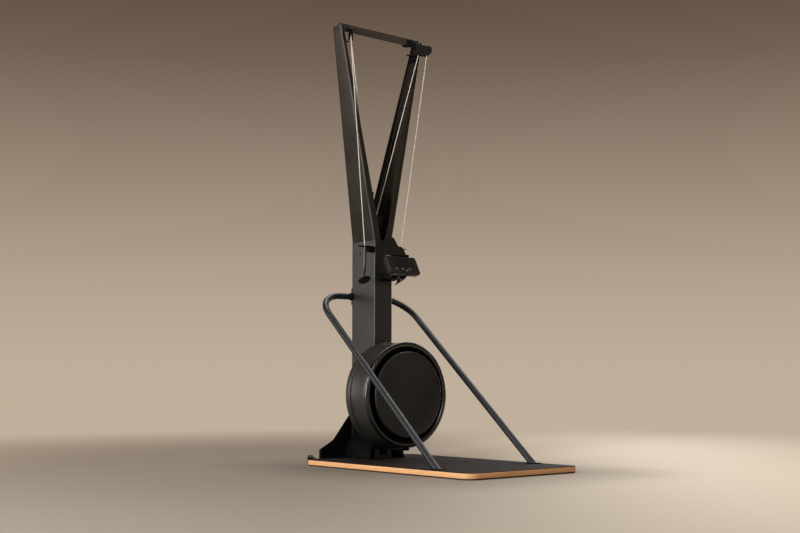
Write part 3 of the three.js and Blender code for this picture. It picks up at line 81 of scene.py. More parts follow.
# Places and sizes that follow the frame, in millimetres and degrees
DRUM_AXIS = (0.0, 400.0, 348.0)
FORWARD = (0.0, -1.0, 0.0)
COVER_REACH, COVER_FRONT, COVER_RISE, COVER_WALL, COVER_STEPS = 195.0, 193.4, 4.0, 4.0, 20
BEZEL_INNER, BEZEL_OUTER, BEZEL_FOOT, BEZEL_RISE = 232.0, 260.0, 179.3, 9.2
PULLEY = (242.19, 366.116, 2145.0)
PULLEY_YAW = 38.0
CORD_RADIUS = 2.25
CORD_TURN = 21.55
OUTER_CORD_TOP = (255.46, 349.13, 2144.4)
OUTER_CORD_END = (118.0, 405.0, 1087.3)
CORD_EYE = (18.0, 481.0, 1262.0)
ON_SPOOL = {"right": (34.55, 522.0, 348.0), "left": (-34.55, 472.0, 348.0)}
HANDLE_TOP = (118.0, 405.0, 1086.7)
HANDLE_TURNS = {"right": (-33.0, 1.8), "left": (-94.0, 0.0)}
GRIP_RADIUS, GRIP_LENGTH, GRIP_STRAIGHT, GRIP_EASE, GRIP_TIP = 8.3, 168.0, 100.0, 18.0, 2.4
GRIP_RINGS = (-35.0, -70.0)
FLARE_RADIUS, FLARE_EDGE, FLARE_DEPTH, FLARE_TILT, FLARE_DISH = 32.5, 2.5, 16.0, 34.0, 1.4
FLARE_LAP = 0.3
TUBE_RADIUS, TUBE_BEND = 16.0, 157.0
TUBE_START, TUBE_STRAIGHT, TUBE_LIFT = 0.15, 60.0, 0.3
TUBE_CORNER = (284.8, 589.8, 847.2)
TUBE_FOOT = (302.1, -338.1, 30.0)
WELD_RADIUS, WELD_BEAD = 16.6, 2.2
BOARD_PLIES = 9
CONSOLE_TILT = 27.6
CONSOLE_CENTRE = (0.0, 244.4, 990.2)
KEY_PLACES = ((-52.0, -24.2), (-13.0, -24.2), (12.0, -33.4), (31.0, -24.2))
KEY_RADIUS, KEY_SINK, KEY_RISE = 5.0, 4.0, 2.0
WHEEL_AXLE = (287.0, 620.9, 26.0)

# How many steps a cord takes over its pulley, down to its handle, and along each inner run
CORD_OVER_STEPS, CORD_FALL_STEPS, CORD_RUN_STEPS = 24, 48, 12

# Patterns, in metres, and the part of its range that a noise mostly keeps to
BRAID_PITCH = 0.0099
DISPLAY_CELL = 0.0045
NOISE_LOW, NOISE_HIGH = 0.3, 0.7

# Colours of small parts, which the panel leaves alone
BRIGHT_STEEL = (0.45, 0.45, 0.46)
BLACK_ANODISED = (0.03, 0.03, 0.032)
# The fan's near-black is painted shade: it keeps the deep intake behind the grille dark
FAN_PAINTED_SHADE = (0.002, 0.002, 0.002)
HOLDER_BLACK = (0.006, 0.0042, 0.0034)
# The grille's black is its own plastic, made darker still as painted shade of the intake's recess
GRILLE_BLACK_AND_SHADE = (0.001, 0.001, 0.001)

# The camera, in metres and degrees, its sensor in millimetres
CAMERA_PLACE = (-3.8493, -4.2892, 0.4247)
CAMERA_TURN = (95.356, 0.0, -40.1745)
CAMERA_SENSOR = 36.0
CAMERA_REACH = 400.0

# Each lamp's name, place, aim, width and height in metres, power in watts, and colour
LAMPS = (
    ("top", (1.5, 1.0, 5.0), (0, -0.2, 0.3), (4.4, 4.4), 320.0, (1.0, 0.98, 0.95)),
    ("left", (-3.9, 2.4, 1.25), (0, 0.2, 0.8), (2.6, 2.4), 115.0, (1.0, 0.93, 0.84)),
    ("strip", (-4.7, -1.0, 1.9), (0, 0.2, 1.2), (0.7, 3.4), 370.0, (0.82, 0.91, 1.0)),
    ("front", (-1.0, -5.2, 2.4), (0, -0.3, 0.4), (2.0, 1.6), 85.0, (1.0, 0.95, 0.88)),
    ("right", (4.4, 1.8, 1.8), (0, 0.2, 1.0), (1.8, 3.0), 60.0, (0.92, 0.96, 1.0)),
)

# The wall's colours, each at the upward part of the line of sight where it stands
WALL_HEIGHTS = {
    "horizon": 0.0, "wall": 0.065, "wall_middle": 0.165, "wall_high": 0.26, "wall_top": 0.32,
}

# The floor, in metres: its half side, the way along which light is painted into its colour and that
# painted light's two ends, the reach and depth of the shadow painted round the board, and where it
# starts and ends to run into the wall's colour
FLOOR_HALF = 150.0
PAINTED_LIGHT_WAY_X, PAINTED_LIGHT_WAY_Y = 0.76, -0.65
PAINTED_LIGHT_FROM, PAINTED_LIGHT_TO = -0.6, 1.6
# The reach and depth of the shadow painted into the floor's colour round the board
PAINTED_SHADOW_REACH, PAINTED_SHADOW_DEPTH = 0.6, 0.45
FADE_FROM, FADE_TO = 1.3, 5.0


# Shader maths


class Socket:
    """A node's output, on which Python's operators add Math nodes."""

    def __init__(self, material, output):
        self.material = material
        self.output = output

    def maths(self, operation, *others, clamp=False):
        return self.material.node(
            "ShaderNodeMath", {"operation": operation, "use_clamp": clamp}, self, *others
        )

    def reflected(self, operation, other):
        return self.material.node("ShaderNodeMath", {"operation": operation}, other, self)

    def __add__(self, other):
        return self.maths("ADD", other)

    def __sub__(self, other):
        return self.maths("SUBTRACT", other)

    def __mul__(self, other):
        return self.maths("MULTIPLY", other)

    def __truediv__(self, other):
        return self.maths("DIVIDE", other)

    def __radd__(self, other):
        return self.maths("ADD", other)

    def __rmul__(self, other):
        return self.maths("MULTIPLY", other)

    def __rsub__(self, other):
        return self.reflected("SUBTRACT", other)

    def __rtruediv__(self, other):
        return self.reflected("DIVIDE", other)

    def __abs__(self):
        return self.maths("ABSOLUTE")

    def __gt__(self, other):
        return self.maths("GREATER_THAN", other)

    def __lt__(self, other):
        return self.maths("LESS_THAN", other)

    def __mod__(self, other):
        return self.maths("FLOORED_MODULO", other)

    def __rmod__(self, other):
        return self.reflected("FLOORED_MODULO", other)

    def __pow__(self, other):
        return self.maths("POWER", other)

    def __rpow__(self, other):
        return self.reflected("POWER", other)


class Finish:
    """One material and the nodes that it is made of."""

    def __init__(self, name, **constants):
        self.material = bpy.data.materials.new(name)
        self.material.use_nodes = True
        self.tree = self.material.node_tree
        self.shader = next(n for n in self.tree.nodes if n.type == "BSDF_PRINCIPLED")
        for label, value in constants.items():
            self.shader.inputs[self._label(label)].default_value = value

    def node(self, kind, settings=None, *values, output=0, **named):
        """Adds a node, its settings first, then the values or links of its sockets."""
        node = self.tree.nodes.new(kind)
        for key, value in (settings or {}).items():
            if key == "stops":
                self._stops(node.color_ramp, value)
            else:
                setattr(node, key, value)
        for index, value in enumerate(values):
            self._feed(node.inputs[index], value)
        for label, value in named.items():
            self._feed(self._input(node, label), value)
        return Socket(self, node.outputs[output])

    def _label(self, name):
        return name.replace("_", " ").title().replace("Ior", "IOR")

    def _input(self, node, label):
        wanted = label.replace("_", " ").lower()
        return next(s for s in node.inputs if s.name.lower() == wanted and s.enabled)

    def _feed(self, socket, value):
        if isinstance(value, Socket):
            self.tree.links.new(value.output, socket)
        elif value is not None:
            socket.default_value = value

    def _stops(self, ramp, stops):
        while len(ramp.elements) < len(stops):
            ramp.elements.new(1.0)
        for element, (place, colour) in zip(ramp.elements, stops):
            element.position = place
            element.color = (*colour, 1.0)

    def place(self, scale=(1, 1, 1), rotation=(0, 0, 0), shift=(0, 0, 0)):
        """The piece's own coordinates in metres, centred, turned and scaled."""
        texture = self.node("ShaderNodeTexCoord", output="Object")
        return self.node("ShaderNodeMapping", {}, texture, shift, rotation, scale)

    def noise(self, scale, detail=3.0, roughness=0.5, at=None):
        """Noise on the piece's own coordinates, or on those that it is given."""
        return self.node(
            "ShaderNodeTexNoise", {}, vector=at or self.place(), scale=scale, detail=detail,
            roughness=roughness,
        )

    def ramp(self, factor, *stops):
        return self.node("ShaderNodeValToRGB", {"stops": stops}, factor)

    def mix(self, factor, first, second):
        """Mixes two colours, for which a Mix node has its inputs 6 and 7 and its output 2."""
        node = self.tree.nodes.new("ShaderNodeMix")
        node.data_type = "RGBA"
        self._feed(node.inputs[0], factor)
        for index, colour in ((6, first), (7, second)):
            self._feed(node.inputs[index], colour if isinstance(colour, Socket) else (*colour, 1.0))
        return Socket(self, node.outputs[2])

    def bump(self, height, distance, strength=1.0):
        return self.node(
            "ShaderNodeBump", {}, strength=strength, distance=distance, height=height,
        )

    def spread(self, value, low, high, to_low, to_high, way="LINEAR"):
        """Carries one range over to another."""
        return self.node(
            "ShaderNodeMapRange", {"interpolation_type": way}, value=value, from_min=low,
            from_max=high, to_min=to_low, to_max=to_high,
        )

    def vary(self, noise, low, high):
        """Carries a noise over to the range between two values."""
        return self.spread(noise, NOISE_LOW, NOISE_HIGH, low, high)

    def clear_of(self, offset, half):
        """How far a place is outside a band that reaches half its width to either side."""
        return abs(offset).maths("SUBTRACT", half).maths("MAXIMUM", 0.0)

    def wear(self, **inputs):
        """Feeds the shader, and gives the finished material."""
        for label, value in inputs.items():
            self._feed(self.shader.inputs[self._label(label)], value)
        return self.material


def separated(finish, vector):
    """A vector's x, y and z."""
    node = finish.tree.nodes.new("ShaderNodeSeparateXYZ")
    finish.tree.links.new(vector.output, node.inputs[0])
    return [Socket(finish, output) for output in node.outputs]


def toned(colour, factor, added=0.0):
    """A colour made lighter or darker."""
    return [c * factor + added for c in colour]


# Finishes


def powder_coat(name, colour, roughness, grain=900.0, depth=0.00001, gloss=0.35, streaks=0.0):
    """Sprayed and baked enamel: a fine orange peel, faint patches in its gloss and wiped streaks."""
    finish = Finish(name, metallic=0.0, specular_ior_level=gloss)
    peel = finish.noise(grain, 2.0, 0.6)
    patches = finish.noise(6.0, 3.0, 0.6)
    wiped = finish.noise(22.0, 4.0, 0.65, at=finish.place(scale=(1.6, 1.6, 0.08)))
    dullness = finish.vary(patches, roughness - 0.03, roughness + 0.04)
    return finish.wear(
        base_color=finish.mix(patches, colour, toned(colour, 1.2, 0.001)),
        roughness=dullness + (wiped - 0.5) * streaks,
        normal=finish.bump(peel, depth, 0.3),
    )


def moulded(name, colour, roughness, grain=1600.0, depth=0.00002, clouding=0.05, gloss=0.35):
    """Moulded plastic: fine spark-eroded texture with slightly uneven gloss."""
    finish = Finish(name, metallic=0.0, specular_ior_level=gloss)
    texture = finish.noise(grain, 2.0, 0.7)
    clouds = finish.noise(9.0, 4.0, 0.65)
    return finish.wear(
        base_color=finish.mix(clouds, colour, toned(colour, 1.25, 0.0005)),
        roughness=finish.vary(clouds, roughness - clouding / 2, roughness + clouding),
        normal=finish.bump(texture, depth, 0.4),
    )


def bright_metal(name, colour, roughness):
    """Machined or cast metal with fine tool marks."""
    finish = Finish(name, metallic=1.0)
    marks = finish.noise(700.0, 3.0, 0.6)
    return finish.wear(
        base_color=finish.mix(finish.noise(30.0), colour, toned(colour, 0.8)),
        roughness=finish.vary(marks, roughness - 0.05, roughness + 0.12),
        normal=finish.bump(marks, 0.00001),
    )


def birch_plywood(name, light, dark, bottom, thickness, plies):
    """Plywood: its faces' long grain, and plies that alternate through the thickness."""
    finish = Finish(name, metallic=0.0, coat_weight=0.1, coat_roughness=0.3)
    height = separated(finish, finish.place(shift=(0, 0, -bottom)))[2]
    ply = height / (thickness / plies)
    cross = abs((ply / 2.0) % 1.0 - 0.5) < 0.25
    glue = abs(ply % 1.0 - 0.5) > 0.45
    long_grain = finish.noise(60.0, 5.0, 0.6, at=finish.place(scale=(3.0, 0.3, 12.0)))
    end_grain = finish.noise(380.0, 4.0, 0.7, at=finish.place(scale=(1.0, 1.0, 2.2)))
    patches = finish.noise(14.0, 5.0, 0.65, at=finish.place(scale=(1.0, 1.0, 5.0)))
    face = finish.mix(long_grain, light, toned(light, 0.7))
    end = finish.mix(end_grain, dark, toned(dark, 0.7))
    wood = finish.mix(cross, face, end)
    wood = finish.mix(glue * 0.5, wood, toned(dark, 0.4))
    wood = finish.mix(finish.spread(patches, 0.46, 0.7, 0.0, 0.6), wood, toned(light, 0.5))
    return finish.wear(
        base_color=wood,
        roughness=finish.vary(end_grain, 0.45, 0.62),
        normal=finish.bump(end_grain, 0.0001),
    )


def anti_slip(name, colour):
    """A thin black sheet with a fine pebbled face, scuffed lighter along the way feet slide."""
    finish = Finish(name, metallic=0.0, specular_ior_level=0.06)
    pebbles = finish.node(
        "ShaderNodeTexVoronoi", {"feature": "F1"}, vector=finish.place(), scale=420.0, randomness=0.8,
    )
    scuffs = finish.noise(5.0, 6.0, 0.65, at=finish.place(scale=(1.0, 0.5, 1.0)))
    drawn = finish.place(rotation=(0, 0, math.radians(24.0)), scale=(1.0, 0.1, 1.0))
    streaks = finish.noise(34.0, 5.0, 0.7, at=drawn)
    worn = finish.spread(scuffs, 0.46, 0.72, 0.0, 1.0) * finish.spread(streaks, 0.5, 0.75, 0.0, 1.0)
    return finish.wear(
        base_color=finish.mix(worn, colour, toned(colour, 4.0, 0.01)),
        roughness=finish.vary(scuffs, 0.62, 0.76),
        normal=finish.bump(pebbles, 0.0003, 0.6),
    )


def rubber(name, colour, roughness, gloss=0.3, dusting=0.012):
    """Black rubber, foam or dull plastic with a little dust in its grain."""
    finish = Finish(name, metallic=0.0, specular_ior_level=gloss)
    dust = finish.noise(25.0, 5.0, 0.6)
    grain = finish.noise(900.0, 2.0, 0.6)
    dusty = finish.spread(dust, 0.5, 0.8, 0.0, 0.5)
    return finish.wear(
        base_color=finish.mix(dusty, colour, toned(colour, 1.0, dusting)),
        roughness=finish.vary(dust, roughness - 0.05, roughness + 0.08),
        normal=finish.bump(grain, 0.00005),
    )


def braided_cord(name, light, dark, pitch):
    """A braided sheath: crossing strands that follow the cord's own length."""
    finish = Finish(name, metallic=0.0, sheen_weight=0.2)
    along = finish.node("ShaderNodeUVMap", {"uv_map": "cord"})
    u, v, _ = separated(finish, along)
    right = (u * 6.0 + v / pitch) % 1.0
    left = (u * 6.0 - v / pitch) % 1.0
    strands = abs(right - 0.5) * 2.0 * (abs(left - 0.5) * 2.0)
    flecks = finish.noise(500.0, 2.0)
    shade = finish.mix(strands, dark, light)
    shade = finish.mix(flecks * 0.2, shade, dark)
    return finish.wear(base_color=shade, roughness=0.75, normal=finish.bump(strands, 0.0004, 0.8))


def display_glass(name, colour, tilt, cell):
    """A dark display behind a smooth window, its rows and columns of cells faintly visible."""
    finish = Finish(
        name, metallic=0.0, coat_weight=0.15, coat_roughness=0.08, specular_ior_level=0.15,
    )
    x, _, z = separated(finish, finish.place(rotation=(-tilt, 0, 0)))
    rows = abs((z / cell) % 1.0 - 0.5) > 0.43
    columns = abs((x / cell) % 1.0 - 0.5) > 0.43
    tint = finish.noise(60.0, 2.0)
    shade = finish.mix(rows * 0.3 + columns * 0.3, colour, toned(colour, 1.8, 0.002))
    shade = finish.mix(tint * 0.3, shade, toned(colour, 1.3))
    return finish.wear(base_color=shade, roughness=finish.vary(tint, 0.2, 0.28))


class Finishes:
    """Every finish on the machine, made once from the colours in the panel."""

    def __init__(self, colours):
        c = {key: tuple(getattr(colours, key)) for key in colours.__annotations__}
        low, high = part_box("platform_board")
        self.satin_black = powder_coat("satin_black", c["column"], 0.34, streaks=0.06)
        self.arm_black = powder_coat("arm_black", c["arm"], 0.22, gloss=0.2, streaks=0.04)
        self.crossbar_brown = powder_coat("crossbar_brown", c["crossbar"], 0.4)
        self.black_steel = powder_coat("black_steel", c["bracket"], 0.34, grain=700.0, gloss=0.02)
        self.tube_grey = powder_coat(
            "tube_grey", c["tube"], 0.4, grain=800.0, depth=0.000004, gloss=0.22,
        )
        self.drum_plastic = moulded("drum_plastic", c["drum"], 0.36, grain=1100.0)
        self.bezel_plastic = moulded("bezel_plastic", c["bezel"], 0.25, depth=0.000006, gloss=0.65)
        self.cover_plastic = moulded(
            "cover_plastic", c["cover"], 0.28, depth=0.000004, clouding=0.3,
        )
        self.black_plastic = moulded("black_plastic", c["bracket"], 0.62, gloss=0.03)
        self.textured_plastic = moulded(
            "textured_plastic", c["console"], 0.22, grain=1300.0, gloss=0.25,
        )
        self.head_black = moulded(
            "head_black", c["console"], 0.65, grain=500.0, depth=0.00008, gloss=0.03,
        )
        self.handle_plastic = moulded("handle_plastic", c["handle"], 0.32, depth=0.000004)
        self.button_plastic = moulded("button_plastic", c["button"], 0.6)
        self.birch = birch_plywood(
            "birch", c["birch"], c["birch_end"], low.z, high.z - low.z, BOARD_PLIES,
        )
        self.anti_slip = anti_slip("anti_slip", c["sheet"])
        self.underlay = rubber("underlay", c["underlay"], 0.85)
        self.wheel_rubber = rubber("wheel_rubber", c["underlay"], 0.6)
        # The fan's finish: near-black as painted shade of the deep intake
        self.dark_cast = rubber("dark_cast", FAN_PAINTED_SHADE, 0.8, gloss=0.05, dusting=0.001)
        self.holder_black = rubber("holder_black", HOLDER_BLACK, 0.75, gloss=0.02, dusting=0.004)
        # The grille's finish: its own black plastic, darkened further as painted shade of the intake's
        # recess
        self.grille_black = rubber("grille_black", GRILLE_BLACK_AND_SHADE, 0.85, gloss=0.03, dusting=0.0005)
        self.bright_steel = bright_metal("bright_steel", BRIGHT_STEEL, 0.28)
        self.aluminium = bright_metal("aluminium", BLACK_ANODISED, 0.4)
        self.cord = braided_cord("cord", c["cord"], toned(c["cord"], 0.55), BRAID_PITCH)
        self.screen_glass = display_glass(
            "screen_glass", c["screen"], math.radians(CONSOLE_TILT), DISPLAY_CELL,
        )


def finishes():
    """The finishes, made at their first use."""
    if not hasattr(finishes, "made"):
        finishes.made = Finishes(bpy.context.scene.ski_trainer_colours)
    return finishes.made


# Mesh pieces


def mm(*values):
    """A vector in metres from its millimetres."""
    return Vector([v * MM for v in values])


def keep(bm, name, body, slot, nodes=(), sharp=30.0, finish=None, flat=False):
    """A piece that rides on a body; flat keeps its broad faces level beside rounded edges."""
    piece = loose(bm, name, slot, nodes, sharp, finish)
    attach(piece, body)
    if flat:
        level = piece.modifiers.new("level_faces", "WEIGHTED_NORMAL")
        level.keep_sharp = True
    return piece


def loose(bm, name, slot, nodes=(), sharp=30.0, finish=None):
    """Makes a bmesh a piece that stands for its nodes and rides on nothing yet."""
    bm.normal_update()
    for face in bm.faces:
        face.smooth = True
    for edge in bm.edges:
        edge.smooth = len(edge.link_faces) == 2 and edge.calc_face_angle(0.0) < math.radians(sharp)
    mesh = bpy.data.meshes.new(name)
    bm.to_mesh(mesh)
    bm.free()
    mesh.materials.append(finish or getattr(finishes(), slot))
    piece = bpy.data.objects.new(name, mesh)
    bpy.context.scene.collection.objects.link(piece)
    if nodes:
        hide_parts(*nodes)
    return piece


def eased(node, body, slot, width=0.8, segments=2, finish=None):
    """A frame node's own shape with its flat faces joined and its edges rounded over."""
    bm = bmesh.new()
    bm.from_mesh(frame["nodes"][node].data)
    bmesh.ops.remove_doubles(bm, verts=bm.verts, dist=SAME_NODE_PLACE)
    bmesh.ops.dissolve_limit(
        bm, angle_limit=math.radians(1.0), verts=bm.verts, edges=bm.edges, delimit={"NORMAL"},
    )
    if width:
        round_over(bm, width, segments, 35.0)
    return keep(bm, node + "_finished", body, slot, (node,), 50.0, finish, flat=True)


def rounded_outline(width, depth, radius, steps):
    """A rectangle's outline with rounded corners, in millimetres."""
    corners = []
    for cx, cy, start in (
        (width / 2 - radius, depth / 2 - radius, 0), (radius - width / 2, depth / 2 - radius, 1),
        (radius - width / 2, radius - depth / 2, 2), (width / 2 - radius, radius - depth / 2, 3),
    ):
        for i in range(steps + 1):
            angle = (start + i / steps) * math.pi / 2
            corners.append((cx + radius * math.cos(angle), cy + radius * math.sin(angle)))
    return corners


def slab(corners, low, high):
    """A plate with an outline, in millimetres, pushed up between two levels."""
    bm = bmesh.new()
    verts = [bm.verts.new(mm(x, y, low)) for x, y in corners]
    base = bm.faces.new(verts)
    up = bmesh.ops.extrude_face_region(bm, geom=[base])
    top = [v for v in up["geom"] if isinstance(v, bmesh.types.BMVert)]
    bmesh.ops.translate(bm, verts=top, vec=mm(0, 0, high - low))
    bmesh.ops.recalc_face_normals(bm, faces=bm.faces)
    return bm


def round_over(bm, width, segments, sharp):
    """Rounds the edges of a bmesh that are sharper than an angle."""
    bm.normal_update()
    hard = [
        e for e in bm.edges
        if len(e.link_faces) == 2 and e.calc_face_angle(0.0) > math.radians(sharp)
    ]
    bmesh.ops.bevel(
        bm, geom=hard, offset=width * MM, offset_type="OFFSET", segments=segments, profile=0.5,
        affect="EDGES", clamp_overlap=True, material=-1,
    )


def cut_off_below(bm, level):
    """Takes away what lies under a level, and gives the edges of the cut."""
    made = bmesh.ops.bisect_plane(
        bm, geom=[*bm.verts, *bm.edges, *bm.faces], dist=SAME_PLACE, plane_co=(0, 0, level),
        plane_no=(0, 0, -1), clear_outer=True,
    )
    return [g for g in made["geom_cut"] if isinstance(g, bmesh.types.BMEdge)]


def lathe(profile, place, steps, closed=True):
    """Spins a profile of radius and height, in millimetres, about its own Z."""
    bm = bmesh.new()
    verts = [bm.verts.new(mm(r, 0, h)) for r, h in profile]
    pairs = list(zip(verts, verts[1:])) + ([(verts[-1], verts[0])] if closed else [])
    edges = [bm.edges.new(pair) for pair in pairs]
    bmesh.ops.spin(
        bm, geom=verts + edges, cent=(0, 0, 0), axis=(0, 0, 1), dvec=(0, 0, 0), angle=TURN,
        steps=steps, use_merge=True, use_duplicate=False,
    )
    bmesh.ops.remove_doubles(bm, verts=bm.verts, dist=SAME_PLACE)
    bmesh.ops.recalc_face_normals(bm, faces=bm.faces)
    bmesh.ops.transform(bm, matrix=place, verts=bm.verts)
    return bm


def bend(corner, into, out, radius, steps):
    """The arc that rounds a corner, from the way in to the way out."""
    half = into.angle(out) / 2
    centre = corner + (into + out).normalized() * (radius / math.sin(half))
    reach = radius / math.tan(half)
    start, end = corner + into * reach - centre, corner + out * reach - centre
    sweep = start.angle(end)
    arc = []
    for i in range(steps + 1):
        share = i / steps
        arm = start * math.sin((1 - share) * sweep) + end * math.sin(share * sweep)
        arc.append(centre + arm / math.sin(sweep))
    return arc


def filleted(corners, steps=5):
    """A closed outline from corners of x, y and rounding, in millimetres."""
    points = []
    for i, (x, y, radius) in enumerate(corners):
        if radius <= 0:
            points.append((x, y))
            continue
        corner = Vector((x, y))
        into = (Vector(corners[i - 1][:2]) - corner).normalized()
        out = (Vector(corners[(i + 1) % len(corners)][:2]) - corner).normalized()
        points += [tuple(point) for point in bend(corner, into, out, radius, steps)]
    return points


def crown(inner, outer, base, height, steps=16):
    """A half-round rib's outline, from its outer foot over its top to its inner foot."""
    middle, half = (inner + outer) / 2, (outer - inner) / 2
    return [
        (middle + half * math.cos(math.pi * i / steps), base + height * math.sin(math.pi * i / steps))
        for i in range(steps + 1)
    ]


def along_path(points, radii, sides, uv=False):
    """A round bar through points in millimetres, its ring extruded from point to point."""
    places = [mm(*p) for p in points]
    bm = bmesh.new()
    ring = bmesh.ops.create_circle(bm, cap_ends=False, segments=sides, radius=1.0)["verts"]
    edges = list(bm.edges)
    layer = bm.loops.layers.uv.new("cord") if uv else None
    turns, length = [], [0.0]
    reference = Vector((0, 1, 0))
    previous = None
    for i, place in enumerate(places):
        before, after = places[max(i - 1, 0)], places[min(i + 1, len(places) - 1)]
        into = (place - before).normalized() if i else (after - place).normalized()
        out = (after - place).normalized() if i + 1 < len(places) else into
        heading = (into + out).normalized()
        if previous is not None:
            reference = previous.rotation_difference(heading) @ reference
        previous = heading
        side = reference.cross(heading).normalized()
        up = heading.cross(side).normalized()
        basis = Matrix((side, up, heading)).transposed().to_4x4()
        size = Matrix.Diagonal((radii[i] * MM, radii[i] * MM, 1.0, 1.0))
        turns.append(Matrix.Translation(place) @ basis @ size)
        if i:
            length.append(length[-1] + (place - places[i - 1]).length)
    bmesh.ops.transform(bm, matrix=turns[0], verts=ring)
    first = edges
    for i in range(1, len(places)):
        made = bmesh.ops.extrude_edge_only(bm, edges=edges)["geom"]
        ring = [g for g in made if isinstance(g, bmesh.types.BMVert)]
        faces = [g for g in made if isinstance(g, bmesh.types.BMFace)]
        edges = [
            g for g in made if isinstance(g, bmesh.types.BMEdge) and all(v in ring for v in g.verts)
        ]
        step = turns[i] @ turns[i - 1].inverted()
        fresh = set(ring)
        bmesh.ops.transform(bm, matrix=step, verts=ring)
        if layer:
            home = turns[i].inverted()
            back = turns[i - 1].inverted()
            for face in faces:
                for loop in face.loops:
                    local = (home if loop.vert in fresh else back) @ loop.vert.co
                    turn = math.atan2(local.y, local.x) / TURN % 1.0
                    loop[layer].uv = (turn, length[i] if loop.vert in fresh else length[i - 1])
                turns_here = [loop[layer].uv.x for loop in face.loops]
                if max(turns_here) - min(turns_here) > 0.5:
                    for loop in face.loops:
                        if loop[layer].uv.x < 0.5:
                            loop[layer].uv.x += 1.0
    bmesh.ops.contextual_create(bm, geom=first)
    bmesh.ops.contextual_create(bm, geom=edges)
    return bm


def facing(origin, direction):
    """Carries a shape built on Z to a place, its Z along a direction."""
    turn = UP.rotation_difference(Vector(direction).normalized())
    return Matrix.Translation(mm(*origin)) @ turn.to_matrix().to_4x4()


def joined(*shapes):
    """Several bmeshes as one."""
    whole = bmesh.new()
    for shape in shapes:
        scratch = bpy.data.meshes.new("scratch")
        shape.to_mesh(scratch)
        shape.free()
        whole.from_mesh(scratch)
        bpy.data.meshes.remove(scratch)
    return whole


def mirrored(bm):
    """The same shape on the other side of the machine, facing out."""
    copy = bm.copy()
    bmesh.ops.scale(copy, vec=(-1, 1, 1), verts=copy.verts)
    bmesh.ops.reverse_faces(copy, faces=copy.faces)
    return copy


def pair(bm, name, slot, nodes, body="machine", sharp=30.0):
    """The right piece and its mirror image, each on its own body where it has one."""
    left = mirrored(bm)
    for shape, side in ((bm, "right"), (left, "left")):
        own = body.replace("SIDE", side)
        keep(shape, f"{name}_{side}", own, slot, [n.replace("SIDE", side) for n in nodes], sharp)


# Sizes and colours


class SkiTrainerSizes(bpy.types.PropertyGroup):
    """Sizes of the detail that the frame leaves open."""

    edge_round: FloatProperty(
        name="Edge rounding", description="How far the sheet metal's edges are rounded over",
        default=0.0006, min=0.0, max=0.003, unit="LENGTH", precision=5,
    )
    board_round: FloatProperty(
        name="Board edge rounding", description="How far the timber board's edges are rounded over",
        default=0.0015, min=0.0, max=0.005, unit="LENGTH", precision=5,
    )
    drum_steps: IntProperty(
        name="Drum steps", description="Facets around the air drum", default=128, min=32, max=256,
    )
    camera_lens: FloatProperty(
        name="Camera lens", description="Focal length of the camera", default=54.0, min=20.0, max=200.0,
        subtype="DISTANCE_CAMERA",
    )


